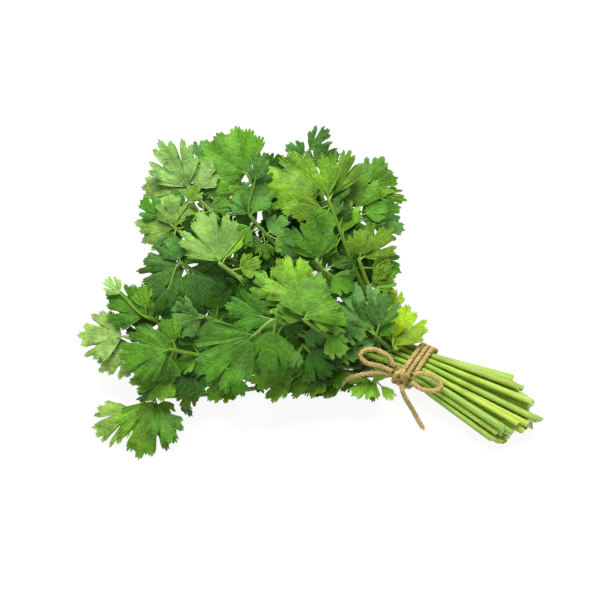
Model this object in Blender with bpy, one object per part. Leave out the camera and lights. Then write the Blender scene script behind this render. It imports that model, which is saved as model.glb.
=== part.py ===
"""Coriander bunch: cut leafy stems tied with jute twine in a bow, lying on a surface.

Each leafy stem is one solid: a thin stem with its lobed, toothed leaflets fused to it.  The
twine is a wrap with its knot, the two loops of the bow and the two free tails.  The bunch lies
along X with its cut ends towards +X, on the surface z = 0.  Tables are in millimetres.
"""

import math
import random

import bmesh
import bpy
import numpy as np
from mathutils import Matrix, Vector
from mathutils.bvhtree import BVHTree

MM = 0.001
SEED = 7

# Middle of the bunch's box on the surface, seen from the middle of the tie.
ORIGIN = (-54.29, -5.27)

# Stems, round the tie and out to the cut.
STEM_RADIUS_TIE = 1.5
STEM_RADIUS_CUT = (1.55, 2.35)
STEM_RADIUS_FORK = 1.05
STEM_PITCH = 3.45
BUNDLE_FLATNESS = 1.4
STEM_CLEARANCE = 0.7
STEM_ARCH = 0.7
TIE = (-2.6, 4.7)
TIE_HALF_LENGTH = 8.5
CUT_PLANE = 80.0
CUT_SPREAD = 2.1
CUT_LIFT = 0.95
CUT_STRAY = 1.5
CUT_SETTLE = 0.04
CUT_ROUNDS = 90
CUT_REACH = 70.5
CUT_SLOPES = (0.8, 1.3)
CUT_PEAK = 5.0
PATH_POINTS = 34
STEM_RINGS = 6
RING_SPACING = 23.0
RELAX_ROUNDS = 80

# Jute twine.
TWINE_RADIUS = 1.3
TWINE_GAP = 0.3
WRAP_TURNS = 3
WRAP_STEPS = 12
WRAP_PITCH = 2.95
WRAP_SLANT = 2.6
WRAP_START = math.radians(105)
WRAP_FLAT = 0.3
WRAP_SOLE = 0.75
KNOT = (-4.5, -9.3, 25.1)

# Joining: a union that isn't closed is tried again with its parts a hair apart.
FUSE_TRIES = 6
FUSE_NUDGE = 0.01

# Leaflets.
BLADE_THICKNESS = 0.72
GUARD_THICKNESS = 1.6
GUARD_GROWTH = 1.03
STALK_WIDTH = 1.5
FIT_TRIES = 70
LARGE_LEAFLET = 23.2
TINY_LEAFLET = 16.5
LARGE_RIM = 19
FLOOR_CLEARANCE = 0.05
SETTLE_HEIGHT = 8.0
SETTLE_ROUNDS = 7

# The side of the bunch that most leaf faces turn to: azimuth from -Y, then elevation.
FACING_AZIMUTH = math.radians(27)
FACING_ELEVATION = math.radians(60)

# Leaf forms: half-angle of the fan, reach of the side lobes, depth of the slits between the
# lobes, depth of the teeth, fold along the midrib and arch from foot to tip.
FORMS = {
    "fan": (95, 0.84, 0.24, 0.12, 0.10, 0.10),
    "lobed": (68, 0.78, 0.40, 0.15, 0.10, 0.18),
    "cut": (56, 0.78, 0.58, 0.17, 0.12, 0.16),
    "folded": (60, 0.72, 0.30, 0.10, 0.85, 0.10),
    "arched": (68, 0.78, 0.34, 0.12, -0.15, 0.55),
    "narrow": (36, 0.82, 0.42, 0.16, 0.14, 0.14),
}

TONES = {
    "pale": (0.235, 0.40, 0.09),
    "light": (0.13, 0.31, 0.03),
    "mid": (0.072, 0.215, 0.018),
    "blue": (0.07, 0.195, 0.034),
    "dark": (0.034, 0.125, 0.009),
    "olive": (0.115, 0.235, 0.014),
    "yellow": (0.26, 0.43, 0.02),
}

# Leafy stems: name, fork where the leaf stalks part (x, y, z), tone, and the leaflets as
# (turn in degrees within the facing plane, length, form, stalk length, distance down the stem).
STEMS = (
    ("bright_centre", (-56, -25, 68), "light",
     ((68, 22, "fan", 1, 0), (5, 17, "lobed", 2, 0), (140, 13, "lobed", 4, 6))),
    ("great_cut", (-69.5, -30.5, 66), "mid",
     ((217, 37, "cut", 13, 0), (259, 24, "lobed", 5, 1), (238, 24, "cut", 8, 8),
      (165, 21, "lobed", 8, 4))),
    ("palest", (-113, -11, 60), "pale",
     ((112, 30, "lobed", 1, 0), (64, 18, "narrow", 3, 2), (18, 13, "lobed", 4, 8))),
    ("upright", (-78, 48, 66), "light",
     ((98, 24, "narrow", 1, 0), (70, 29, "narrow", 2, 0), (195, 17, "lobed", 4, 4),
      (85, 20, "folded", 3, 24))),
    ("round_top", (-129, 50, 54), "mid",
     ((148, 31, "fan", 1, 0), (232, 15, "lobed", 4, 4), (20, 12, "lobed", 3, 10))),
    ("arched", (-86, 60, 56), "light",
     ((163, 35, "arched", 1, 0), (182, 19, "lobed", 3, 8), (75, 14, "lobed", 4, 6))),
    ("crown_left", (-155, 29, 50), "pale",
     ((120, 30, "cut", 1, 0), (174, 26, "lobed", 2, 2), (60, 18, "lobed", 3, 4),
      (250, 12, "lobed", 3, 6))),
    ("blue_west", (-133, -18, 56), "blue",
     ((222, 26, "lobed", 1, 0), (285, 22, "lobed", 3, 3), (178, 20, "lobed", 3, 3),
      (325, 20, "lobed", 5, 8))),
    ("folded", (-113, 23, 60), "blue",
     ((72, 21, "folded", 1, 0), (125, 15, "lobed", 2, 2), (215, 12, "lobed", 4, 8))),
    ("centre_top", (-64, -14, 62), "light",
     ((120, 26, "lobed", 1, 0), (85, 20, "lobed", 2, 2), (165, 17, "cut", 4, 5))),
    ("blue_ternate", (-25.5, -1, 37.5), "blue",
     ((122, 30, "cut", 2, 0), (177, 24, "lobed", 4, 1), (92, 24, "cut", 3, 2))),
    ("yellow_tie", (-14.5, 1, 28), "yellow",
     ((70, 26, "lobed", 1, 0), (104, 14, "cut", 17, 1), (122, 19, "lobed", 3, 3))),
    ("olive", (-51, 31, 49), "olive",
     ((45, 25, "cut", 2, 0), (85, 15, "lobed", 3, 2), (10, 13, "cut", 4, 6))),
    ("dark_pair", (-67, 14, 58), "mid",
     ((135, 25, "cut", 2, 0), (106, 23, "lobed", 2, 0), (82, 16, "lobed", 3, 3),
      (325, 14, "lobed", 6, 4))),
    ("east_upper", (-70, 79, 45), "mid",
     ((60, 18, "lobed", 2, 0), (8, 17, "lobed", 2, 1), (342, 19, "narrow", 4, 3),
      (150, 14, "lobed", 4, 8))),
    ("mid_upper", (-66, 58, 50), "mid",
     ((86, 23, "lobed", 1, 0), (262, 23, "lobed", 2, 2), (20, 14, "lobed", 4, 4))),
    ("yellow_east", (-40, 21, 43), "olive",
     ((30, 15, "cut", 1, 0), (345, 13, "cut", 2, 1), (78, 13, "cut", 2, 1),
      (200, 14, "lobed", 4, 6))),
    ("finger_top", (-109, 82, 48), "blue",
     ((48, 17, "cut", 2, 0), (150, 12, "lobed", 2, 4), (200, 15, "lobed", 4, 8))),
    ("west_light", (-150, 5, 46), "light",
     ((98, 19, "lobed", 1, 0), (165, 22, "lobed", 2, 1), (195, 19, "lobed", 3, 3),
      (50, 12, "lobed", 3, 3))),
    ("bright_front", (-18, -15.5, 17), "light",
     ((182, 16, "lobed", 1, 0), (262, 11, "narrow", 1, 0), (312, 11, "narrow", 4, 0))),
    ("long_dark", (-42, -26, 33), "dark",
     ((188, 31, "lobed", 2, 0), (191, 24, "lobed", 18, 1), (214, 20, "lobed", 3, 3))),
    ("low_front", (-30, -23, 20), "mid",
     ((176, 23, "lobed", 3, 0), (191, 15, "lobed", 4, 1), (160, 17, "lobed", 6, 6))),
    ("centre_under", (-60, -23, 51), "mid",
     ((142, 26, "lobed", 4, 0), (128, 17, "lobed", 20, 1), (200, 14, "lobed", 6, 8))),
    ("far_west", (-146, -60, 32), "pale",
     ((172, 26, "lobed", 1, 0), (222, 24, "lobed", 3, 8), (262, 14, "lobed", 4, 8))),
    ("west_mid", (-117, -60, 42), "mid",
     ((184, 28, "lobed", 1, 0), (240, 16, "lobed", 3, 3), (120, 15, "lobed", 4, 5))),
    ("west_dark", (-139, -48, 40), "mid",
     ((150, 24, "lobed", 1, 0), (100, 15, "cut", 4, 1), (152, 19, "lobed", 3, 12),
      (140, 12, "cut", 18, 1))),
    ("west_blue", (-108, -37, 48), "blue",
     ((190, 18, "lobed", 2, 0), (158, 15, "cut", 6, 2), (228, 18, "lobed", 6, 4))),
    ("great_low", (-121, -76, 11), "mid",
     ((258, 32, "lobed", 2, 0), (210, 27, "cut", 12, 1), (290, 18, "lobed", 10, 2),
      (150, 14, "lobed", 4, 5))),
    ("south_west", (-111, -60, 28), "light",
     ((192, 28, "lobed", 1, 0), (158, 18, "lobed", 4, 2), (285, 14, "fan", 3, 4))),
    ("grey_front", (-55, -28, 46), "olive",
     ((218, 16, "lobed", 3, 0), (310, 18, "lobed", 3, 1), (262, 14, "lobed", 4, 8))),
    ("dark_low", (-87, -45, 11), "dark",
     ((212, 18, "lobed", 2, 0), (238, 13, "lobed", 3, 2), (190, 15, "lobed", 6, 4))),
    ("inner_dark", (-118, 6, 38), "dark",
     ((170, 27, "lobed", 2, 0), (100, 20, "lobed", 3, 2), (240, 18, "lobed", 4, 4))),
    ("inner_mid", (-87, -12, 40), "dark",
     ((150, 24, "lobed", 2, 0), (200, 22, "lobed", 4, 3), (100, 20, "lobed", 4, 3))),
    ("back_low", (-100, 62, 14), "dark",
     ((120, 24, "lobed", 2, 0), (60, 20, "lobed", 4, 3), (170, 20, "lobed", 4, 3))),
    ("back_east_low", (-62, 52, 12), "dark",
     ((70, 20, "lobed", 2, 0), (130, 18, "lobed", 4, 3), (20, 16, "lobed", 4, 3))),
)

# Leaflets that fill the inside of the bunch, one pair on each longer stem.
FILL_REACH = 128.0
FILL_BACKS = (30.0,)
FILL_LENGTHS = (15.0, 20.0)
FILL_STALK = 6.0

# The bow: routes of its loops and tails, from the knot.
LEFT_LOOP = (
    (-10.2, -8.7, 28.5), (-14.7, -6.7, 32.3), (-21.2, -7.7, 35.3), (-26.2, -10.7, 36.3),
    (-27.5, -14.5, 35.3), (-23.2, -15.7, 32.7), (-16.2, -12.7, 29.7), (-10.3, -11.3, 26.9),
)
RIGHT_LOOP = (
    (1.1, -8.3, 27.3), (4.5, -5.7, 27.5), (10.3, -4.5, 27.1), (15.1, -4.9, 26.3),
    (16.9, -7.7, 25.4), (13.7, -11.1, 24.5), (7.9, -12.5, 24.4), (1.7, -11.3, 24.7),
)
LEFT_TAIL = (
    (-9.7, -11.9, 23.7), (-13.7, -13.7, 25.9), (-18.7, -17.2, 27.6), (-24.4, -21.6, 27.4),
    (-29.8, -25.6, 24.8), (-31.6, -27.8, 20.8),
)
FRONT_TAIL = (
    (-2.8, -14, 21.9), (-0.6, -16.4, 19.4), (2.2, -17.4, 14.6), (5.4, -17.6, 9.2),
    (8.8, -18.6, 4.8), (12.4, -20.6, 2.4), (15.4, -22.4, 1.5),
)

BOW = {
    "twine_loop_left": LEFT_LOOP,
    "twine_loop_right": RIGHT_LOOP,
    "twine_tail_left": LEFT_TAIL,
    "twine_tail_front": FRONT_TAIL,
}

# Rings of twine that make the knot: radius, axis and shift from the knot's middle.
KNOT_RINGS = (
    (2.7, (1.0, 0.2, 0.1), (0.2, 0.5, 0)),
    (2.6, (0.35, 1.0, 0.5), (0.5, 1.3, -1.3)),
    (2.4, (0.8, -0.9, 0.4), (-1.2, -1.6, -0.2)),
)
TWINE_COLOUR = (0.47, 0.31, 0.15)


def smoothstep(value):
    """Ease from 0 to 1 as value goes from 0 to 1."""
    value = min(1.0, max(0.0, value))
    return value * value * (3 - 2 * value)


def bundle_slots(count):
    """Places of the stems across the tie, packed like a honeycomb, the nearest to the middle."""
    places = []
    for row in range(-5, 6):
        for column in range(-7, 8):
            across = (column + 0.5 * (row % 2) - 0.25) * STEM_PITCH
            up = (row + 0.5) * STEM_PITCH * math.sqrt(3) / 2
            ring = (abs(across / BUNDLE_FLATNESS) ** 3 + abs(up) ** 3) ** (1 / 3)
            places.append((ring, across, up))
    places.sort()
    return [(across, up) for _, across, up in places[:count]]


def tie_height(slots):
    """Height of the bundle's middle when its lowest stem lies on the twine below it."""
    lowest = min(up for _, up in slots)
    return 2 * TWINE_RADIUS + WRAP_FLAT + TWINE_GAP + STEM_RADIUS_TIE - lowest


def assign_slots(slots):
    """Give each stem the slot that keeps the fan in order, side to side and low to high."""
    height = tie_height(slots)
    bearing = [math.atan2(fork[1], -fork[0]) for _, fork, _, _ in STEMS]
    climb = [math.atan2(fork[2] - height, math.hypot(fork[0], fork[1])) for _, fork, _, _ in STEMS]
    by_bearing = sorted(range(len(STEMS)), key=lambda i: bearing[i])
    by_side = sorted(slots)
    columns = 7
    chosen = [None] * len(STEMS)
    for column in range(columns):
        first = round(column * len(STEMS) / columns)
        last = round((column + 1) * len(STEMS) / columns)
        stems = sorted(by_bearing[first:last], key=lambda i: climb[i])
        places = sorted(by_side[first:last], key=lambda place: place[1])
        for stem, place in zip(stems, places):
            chosen[stem] = place
    return chosen


def stem_radii(draw):
    """Radius of a stem at each of its route's points, from the cut to the fork."""
    cut_radius = draw.uniform(*STEM_RADIUS_CUT)
    radii = []
    cut_points = PATH_POINTS // 4
    for k in range(PATH_POINTS):
        if k <= cut_points:
            share = 1 - k / cut_points
            radii.append(STEM_RADIUS_TIE + (cut_radius - STEM_RADIUS_TIE) * share)
        else:
            share = (k - cut_points) / (PATH_POINTS - 1 - cut_points)
            radii.append(STEM_RADIUS_TIE + (STEM_RADIUS_FORK - STEM_RADIUS_TIE) * share)
    return radii


def cut_places(places, lowest, radii):
    """Where each stem's line crosses a plane past the cut: strewn, apart, and on the surface."""
    draw = random.Random(SEED * 4)
    spots = []
    for (across, up), (radius, *_) in zip(places, radii):
        side = TIE[1] + across * CUT_SPREAD + draw.uniform(-CUT_STRAY, CUT_STRAY)
        rise = radius + (up - lowest) * CUT_LIFT + draw.uniform(-CUT_STRAY, CUT_STRAY)
        spots.append([side, rise])
    for _ in range(CUT_ROUNDS):
        for first in range(len(spots)):
            for second in range(first):
                apart = Vector(spots[first]) - Vector(spots[second])
                need = (radii[first][0] + radii[second][0]) * 1.1 + STEM_CLEARANCE
                if apart.length < need:
                    push = apart.normalized() * (need - apart.length) * 0.5
                    for axis in range(2):
                        spots[first][axis] += push[axis]
                        spots[second][axis] -= push[axis]
        for spot, (radius, *_) in zip(spots, radii):
            spot[1] = max(spot[1] - CUT_SETTLE, radius + 0.15)
    return spots


def stem_route(fork, place, height, spot, draw):
    """Evenly numbered points from the cut, through the tie, to the fork."""
    across, up = place
    tie = Vector((TIE[0], TIE[1] + across, height + up))
    head = Vector(fork)
    reach = (head - tie).length
    points = []
    cut_points = PATH_POINTS // 4
    leaving = Vector((TIE[0] + TIE_HALF_LENGTH, tie.y, tie.z))
    beyond = Vector((CUT_PLANE, *spot))
    aside = spot[0] * 0.8 - CUT_PEAK
    cut_x = CUT_REACH - CUT_SLOPES[aside > 0] * abs(aside) + draw.uniform(-3.5, 3.5)
    cut = leaving.lerp(beyond, (cut_x - leaving.x) / (CUT_PLANE - leaving.x))
    for k in range(cut_points):
        points.append(cut.lerp(leaving, k / cut_points))
    start = Vector((-1.0, 0.25 * math.copysign(1, head.y) * min(1, abs(head.y) / 60), 0)) * reach * 0.8
    rise = (head - tie).normalized()
    end = Vector((rise.x, rise.y, rise.z + STEM_ARCH)).normalized() * reach * 0.9
    neck = tie + Vector((-TIE_HALF_LENGTH, 0, 0))
    points.append(leaving)
    run_points = PATH_POINTS - len(points)
    for k in range(run_points):
        t = k / (run_points - 1)
        h00 = 2 * t**3 - 3 * t**2 + 1
        h10 = t**3 - 2 * t**2 + t
        h01 = 3 * t**2 - 2 * t**3
        h11 = t**3 - t**2
        points.append(h00 * neck + h10 * start + h01 * head + h11 * end)
    return points


def relax_routes(routes, radii, posts):
    """Push the routes apart, and off the twine's points, and keep them smooth and off the surface."""
    paths = np.array([[tuple(p) for p in route] for route in routes])
    radius = np.array(radii)
    stems, count, _ = paths.shape
    owner = np.repeat(np.arange(stems), count)
    reach = radius.reshape(-1)
    need = reach[:, None] + reach[None, :] + STEM_CLEARANCE
    other = owner[:, None] != owner[None, :]
    posts = np.array([tuple(post) for post in posts])
    need_post = (reach + TWINE_RADIUS + 2 * STEM_CLEARANCE)[:, None]
    fixed = np.zeros((stems, count), bool)
    fixed[:, : count // 4 + 2] = True
    fixed[:, -1] = True
    for _ in range(RELAX_ROUNDS):
        flat = paths.reshape(-1, 3)
        apart = flat[:, None, :] - flat[None, :, :]
        distance = np.sqrt((apart**2).sum(axis=2)) + 1e-9
        close = other & (distance < need)
        push = np.where(close, (need - distance) / distance, 0.0)
        shift = (apart * push[:, :, None]).sum(axis=1) * 0.5
        apart = flat[:, None, :] - posts[None, :, :]
        distance = np.sqrt((apart**2).sum(axis=2)) + 1e-9
        push = np.maximum(need_post - distance, 0.0) / distance
        shift += (apart * push[:, :, None]).sum(axis=1)
        shift = np.clip(shift, -0.6, 0.6).reshape(stems, count, 3)
        shift[:, :, 0] *= 0.2
        bend = np.zeros_like(paths)
        bend[:, 1:-1] = 0.25 * (paths[:, :-2] + paths[:, 2:] - 2 * paths[:, 1:-1])
        paths = np.where(fixed[:, :, None], paths, paths + shift + bend * 0.5)
        paths[:, :, 2] = np.maximum(paths[:, :, 2], radius + 0.2)
    return [[Vector(np.round(p, 2)) for p in path] for path in paths]


def outline(form, length, draw):
    """Edge of a blade 1 long, as (angle from the midrib, radius from the foot), left to right."""
    spread, side, slit, tooth, _, _ = FORMS[form]
    if length < TINY_LEAFLET:
        marks = ((0.20, 0.04), (0.33, slit), (0.47, 0), (0.62, tooth), (0.78, 0.06))
    elif length < LARGE_LEAFLET:
        marks = ((0.13, tooth), (0.21, 0.05), (0.33, slit), (0.50, 0), (0.63, tooth), (0.78, 0.06))
    else:
        marks = ((0.10, tooth), (0.20, 0.05), (0.32, slit), (0.45, 0), (0.54, tooth), (0.65, 0),
                 (0.76, tooth), (0.87, 0.05))
    half = [(1.0, 0.42 * side)]
    for share, depth in reversed(marks):
        envelope = 1 - (1 - side) * (share / 0.65) ** 1.4
        half.append((share, envelope * (1 - depth)))
    tip = [(0.0, 1.0)]
    shape = [(spread * s, r) for s, r in half] + tip + [(-spread * s, r) for s, r in reversed(half)]
    return [(math.radians(a), r * draw.uniform(0.95, 1.05)) for a, r in shape]


def relief(angle, radius, form, bend):
    """Height of a blade 1 long above its plane: folded, arched, ridged along the lobes, waved."""
    spread, _, _, _, fold, arch = FORMS[form]
    across = radius * math.sin(angle)
    along = radius * math.cos(angle)
    ridge = math.cos(2 * math.pi * math.degrees(angle) / (0.65 * spread))
    height = fold * across * across / (0.15 + abs(across)) - arch * along * along
    height += 0.016 * ridge * radius
    return height + bend[0] * radius**2 * math.sin(2 * angle) + bend[1] * radius**3 * math.cos(3 * angle)


def blade_mesh(leaf, thickness, growth=1.0, stalk=True):
    """Points and triangles of one leaflet with its stalk, split alike on both faces."""
    rim = leaf["rim"]
    spread = math.radians(FORMS[leaf["form"]][0])
    scale = leaf["length"] * growth
    along, side, face = leaf["along"], leaf["side"], leaf["face"]
    half = STALK_WIDTH / 2
    flat = [(leaf["foot"] + side * s * half) for s in (-1, 1)]
    if stalk:
        flat = [leaf["root"] + leaf["stalk_side"] * s * half for s in (-1, 1)] + flat
    else:
        flat = flat + flat
    inner = 0.8 * (1 - FORMS[leaf["form"]][2])
    large = len(rim) == LARGE_RIM
    middle = [(0.0, inner), (0.62 * spread, 0.8 * inner), (-0.62 * spread, 0.8 * inner)]
    middle = middle if large else []
    for angle, radius in rim + middle:
        place = leaf["foot"] - side * math.sin(angle) * radius * scale
        place += along * math.cos(angle) * radius * scale
        flat.append(place + face * relief(angle, radius, leaf["form"], leaf["bend"]) * leaf["length"])
    count = len(rim)
    edge = list(range(4, 4 + count))
    tip = edge[count // 2]
    slit_left, slit_right = tip - 3, tip + 3
    centre, left, right = (4 + count, 5 + count, 6 + count) if large else (2, 2, 3)
    faces = [(0, 1, 3), (0, 3, 2)] if stalk else []
    for a, b in zip(edge, edge[1:]):
        if large and slit_left <= a < slit_right:
            hub = centre
        else:
            hub = left if b <= tip else right
        faces.append((hub, b, a))
    if large:
        faces += [(2, left, edge[0]), (2, centre, left), (left, centre, slit_left), (2, 3, centre),
                  (3, right, centre), (centre, right, slit_right), (3, edge[-1], right)]
    else:
        faces.append((2, 3, tip))
    loop = ([0] if stalk else []) + [2] + edge + [3] + ([1] if stalk else [])
    total = len(flat)
    lift = [face * thickness / 2] * total
    if stalk:
        lift[0] = lift[1] = leaf["stalk_face"] * thickness * 0.75
    points = [p + l for p, l in zip(flat, lift)] + [p - l for p, l in zip(flat, lift)]
    under = [(a + total, c + total, b + total) for a, b, c in faces]
    walls = []
    for a, b in zip(loop, loop[1:] + loop[:1]):
        walls += [(a, b, b + total), (a, b + total, a + total)]
    return points, faces + under + walls


def facing_frame():
    """Sideways, upward and outward directions of the plane that most leaf faces lie in."""
    sin_a, cos_a = math.sin(FACING_AZIMUTH), math.cos(FACING_AZIMUTH)
    sin_e, cos_e = math.sin(FACING_ELEVATION), math.cos(FACING_ELEVATION)
    sideways = Vector((cos_a, sin_a, 0))
    outward = Vector((sin_a * cos_e, -cos_a * cos_e, sin_e))
    return sideways, outward.cross(sideways), outward


def point_down_stem(route, back):
    """Point of the route the given distance before its fork."""
    left = back
    for here, before in zip(reversed(route), reversed(route[:-1])):
        step = (here - before).length
        if left <= step:
            return here.lerp(before, left / step)
        left -= step
    return route[0].copy()


def lay_leaflet(route, spec, wander, draw):
    """Frame and edge of one leaflet; wander, from 0 to 1, lets it stray from its spec."""
    turn, length, form, stalk, back = spec
    sideways, upward, outward = facing_frame()
    root = point_down_stem(route, max(back, 1.0))
    flat = 1 - smoothstep((root.z - 10) / 32)
    turn += draw.uniform(-1, 1) * (4 + 40 * wander)
    length *= 1 - 0.35 * wander * draw.random()
    stalk = stalk * (1 + 1.2 * wander * draw.random()) + 3 * wander * draw.random()
    tilt = 0.16 + 0.55 * wander
    face = outward.lerp(Vector((0, 0, 1)), flat)
    face += sideways * draw.uniform(-tilt, tilt) + upward * draw.uniform(-tilt, tilt)
    face.normalize()
    aim = sideways * math.cos(math.radians(turn)) + upward * math.sin(math.radians(turn))
    along = aim - outward * (aim.dot(face) / outward.dot(face))
    along.normalize()
    bend = (draw.uniform(-0.10, 0.10), draw.uniform(-0.10, 0.10))
    leaf = {"form": form, "length": length, "bend": bend}
    leaf["rim"] = outline(form, length, draw)
    for _ in range(SETTLE_ROUNDS):
        side = along.cross(face)
        foot = root + along * (stalk + 1.0)
        leaf.update(root=root, foot=foot, along=along, side=side, face=face,
                    stalk_side=side, stalk_face=face)
        points, _ = blade_mesh(leaf, BLADE_THICKNESS)
        low = min(points, key=lambda p: p.z)
        if low.z > SETTLE_HEIGHT or abs(low.z - FLOOR_CLEARANCE) < 0.02:
            break
        arm = max(6.0, (low - root).length)
        axis = Vector((low.x - root.x, low.y - root.y, 0)).cross(Vector((0, 0, 1)))
        turn_up = Matrix.Rotation((FLOOR_CLEARANCE - low.z) / arm, 3, axis)
        along = turn_up @ along
        face = turn_up @ face
    return leaf, low.z >= FLOOR_CLEARANCE - 0.03


def make_body(points, faces, owner):
    """A solid that later leaflets keep clear of: its box and its tree."""
    low = [min(p[i] for p in points) for i in range(3)]
    high = [max(p[i] for p in points) for i in range(3)]
    return {"tree": BVHTree.FromPolygons(points, faces), "low": low, "high": high, "owner": owner}


def touches(body, others, keep_owner):
    """Whether the body cuts any other that doesn't belong to keep_owner."""
    for other in others:
        if other["owner"] == keep_owner:
            continue
        if any(body["low"][i] > other["high"][i] or body["high"][i] < other["low"][i] for i in range(3)):
            continue
        if body["tree"].overlap(other["tree"]):
            return True
    return False


def fit_leaflet(stem, route, spec, bodies, draw):
    """The leaflet nearest to its spec that is clear of the other stems, or None."""
    for attempt in range(FIT_TRIES):
        leaf, above = lay_leaflet(route, spec, attempt / FIT_TRIES, draw)
        if not above:
            continue
        guard = make_body(*blade_mesh(leaf, GUARD_THICKNESS, GUARD_GROWTH), stem)
        if touches(guard, bodies, stem):
            continue
        blade = make_body(*blade_mesh(leaf, BLADE_THICKNESS, 1.0, stalk=False), stem)
        siblings = [body for body in bodies if body["owner"] == stem and body.get("blade")]
        if attempt < FIT_TRIES * 0.6 and touches(blade, siblings, None):
            continue
        blade["blade"] = True
        bodies.append(blade)
        bodies.append(make_body(*blade_mesh(leaf, BLADE_THICKNESS), stem))
        return leaf
    return None


def leaflet_specs():
    """Every leaflet as (stem, leaflet number, spec): the listed ones, then the filling ones."""
    specs = []
    for stem, (_, fork, _, leaflets) in enumerate(STEMS):
        specs += [(stem, number, spec) for number, spec in enumerate(leaflets)]
    for stem, (_, fork, _, leaflets) in enumerate(STEMS):
        draw = random.Random(SEED * 1000 + stem)
        if math.hypot(fork[0], fork[1]) < FILL_REACH:
            continue
        for number, back in enumerate(FILL_BACKS):
            turn = draw.uniform(0, 360)
            spec = (turn, draw.uniform(*FILL_LENGTHS), "lobed", FILL_STALK, back)
            specs.append((stem, len(leaflets) + number, spec))
    return specs


def lay_leaflets(routes, bodies):
    """Lay every leaflet in turn, each clear of what is already there."""
    leaves = [[] for _ in STEMS]
    for stem, number, spec in leaflet_specs():
        draw = random.Random(SEED * 100000 + stem * 100 + number)
        leaf = fit_leaflet(stem, routes[stem], spec, bodies, draw)
        if leaf:
            leaves[stem].append(leaf)
    return leaves


def wrap_route(slots, height):
    """Turns of twine close round the stems: the corners of a belt drawn tight round them."""
    offset = STEM_RADIUS_TIE + TWINE_GAP + TWINE_RADIUS
    turn = 2 * math.pi / WRAP_STEPS
    points = []
    for k in range(WRAP_TURNS * WRAP_STEPS + 1):
        before = WRAP_START + turn * (k - 0.5)
        after = WRAP_START + turn * (k + 0.5)
        reach = [offset + max(y * math.cos(a) + z * math.sin(a) for y, z in slots)
                 for a in (before, after)]
        y = (reach[0] * math.sin(after) - reach[1] * math.sin(before)) / math.sin(turn)
        z = (reach[1] * math.cos(before) - reach[0] * math.cos(after)) / math.sin(turn)
        slant = WRAP_SLANT * math.cos(WRAP_START + turn * k)
        x = TIE[0] + (k / WRAP_STEPS - WRAP_TURNS / 2) * WRAP_PITCH + slant
        points.append(Vector((x, TIE[1] + y, max(height + z, TWINE_RADIUS))))
    return points


def ring_route(centre, radius, axis, steps=9):
    """A closed ring of twine about an axis."""
    turn = Vector((0, 0, 1)).rotation_difference(Vector(axis)).to_matrix()
    centre = Vector(centre)
    points = []
    for k in range(steps):
        angle = 2 * math.pi * k / steps
        points.append(centre + turn @ Vector((radius * math.cos(angle), radius * math.sin(angle), 0)))
    return points


def smooth_route(marks, step):
    """Points about a step apart on the smooth curve through the marks."""
    marks = [Vector(m) for m in marks]
    ends = [2 * marks[0] - marks[1]] + marks + [2 * marks[-1] - marks[-2]]
    points = []
    for before, start, stop, after in zip(ends, ends[1:], ends[2:], ends[3:]):
        count = max(1, round((stop - start).length / step))
        for k in range(count):
            t = k / count
            points.append(0.5 * (2 * start + (stop - before) * t
                                 + (2 * before - 5 * start + 4 * stop - after) * t**2
                                 + (3 * start - before - 3 * stop + after) * t**3))
    points.append(marks[-1])
    return points


def tube(name, points, radii, resolution, closed=False):
    """A round bar along the points, as a mesh object."""
    curve = bpy.data.curves.new(name, "CURVE")
    curve.dimensions = "3D"
    curve.bevel_depth = MM
    curve.bevel_resolution = resolution
    curve.use_fill_caps = True
    spline = curve.splines.new("POLY")
    spline.points.add(len(points) - 1)
    spline.use_cyclic_u = closed
    for point, place, radius in zip(spline.points, points, radii):
        point.co = (*(place * MM), 1.0)
        point.radius = radius
    source = bpy.data.objects.new(name + "_line", curve)
    bpy.context.collection.objects.link(source)
    mesh = bpy.data.meshes.new_from_object(source.evaluated_get(bpy.context.evaluated_depsgraph_get()))
    bpy.data.objects.remove(source)
    bpy.data.curves.remove(curve)
    return link_mesh(name, mesh)


def link_mesh(name, mesh):
    """Put a mesh in the scene as an object, split into triangles, faces out."""
    work = bmesh.new()
    work.from_mesh(mesh)
    bmesh.ops.remove_doubles(work, verts=work.verts, dist=1e-7)
    bmesh.ops.triangulate(work, faces=work.faces)
    bmesh.ops.recalc_face_normals(work, faces=work.faces)
    work.to_mesh(mesh)
    work.free()
    mesh.name = name
    made = bpy.data.objects.new(name, mesh)
    bpy.context.collection.objects.link(made)
    return made


def leaf_object(name, leaf):
    """One leaflet as a mesh object."""
    points, faces = blade_mesh(leaf, BLADE_THICKNESS)
    mesh = bpy.data.meshes.new(name)
    mesh.from_pydata([p * MM for p in points], [], faces)
    return link_mesh(name, mesh)


def fuse(base, parts):
    """Join the parts to the base with one Boolean union, then remove them."""
    group = bpy.data.collections.new(base.name + "_parts")
    bpy.context.scene.collection.children.link(group)
    for part in parts:
        bpy.context.collection.objects.unlink(part)
        group.objects.link(part)
    union = base.modifiers.new("Union", "BOOLEAN")
    union.operation = "UNION"
    union.operand_type = "COLLECTION"
    union.collection = group
    for attempt in range(FUSE_TRIES):
        union.solver = "MANIFOLD" if attempt % 2 else "EXACT"
        for number, part in enumerate(parts):
            part.location.z = attempt * number * FUSE_NUDGE * MM
        bpy.context.view_layer.update()
        graph = bpy.context.evaluated_depsgraph_get()
        fused = bpy.data.meshes.new_from_object(base.evaluated_get(graph))
        if tidy_solid(fused):
            break
    base.modifiers.remove(union)
    base.data = fused
    for part in list(group.objects):
        bpy.data.objects.remove(part)
    bpy.data.collections.remove(group)


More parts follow.
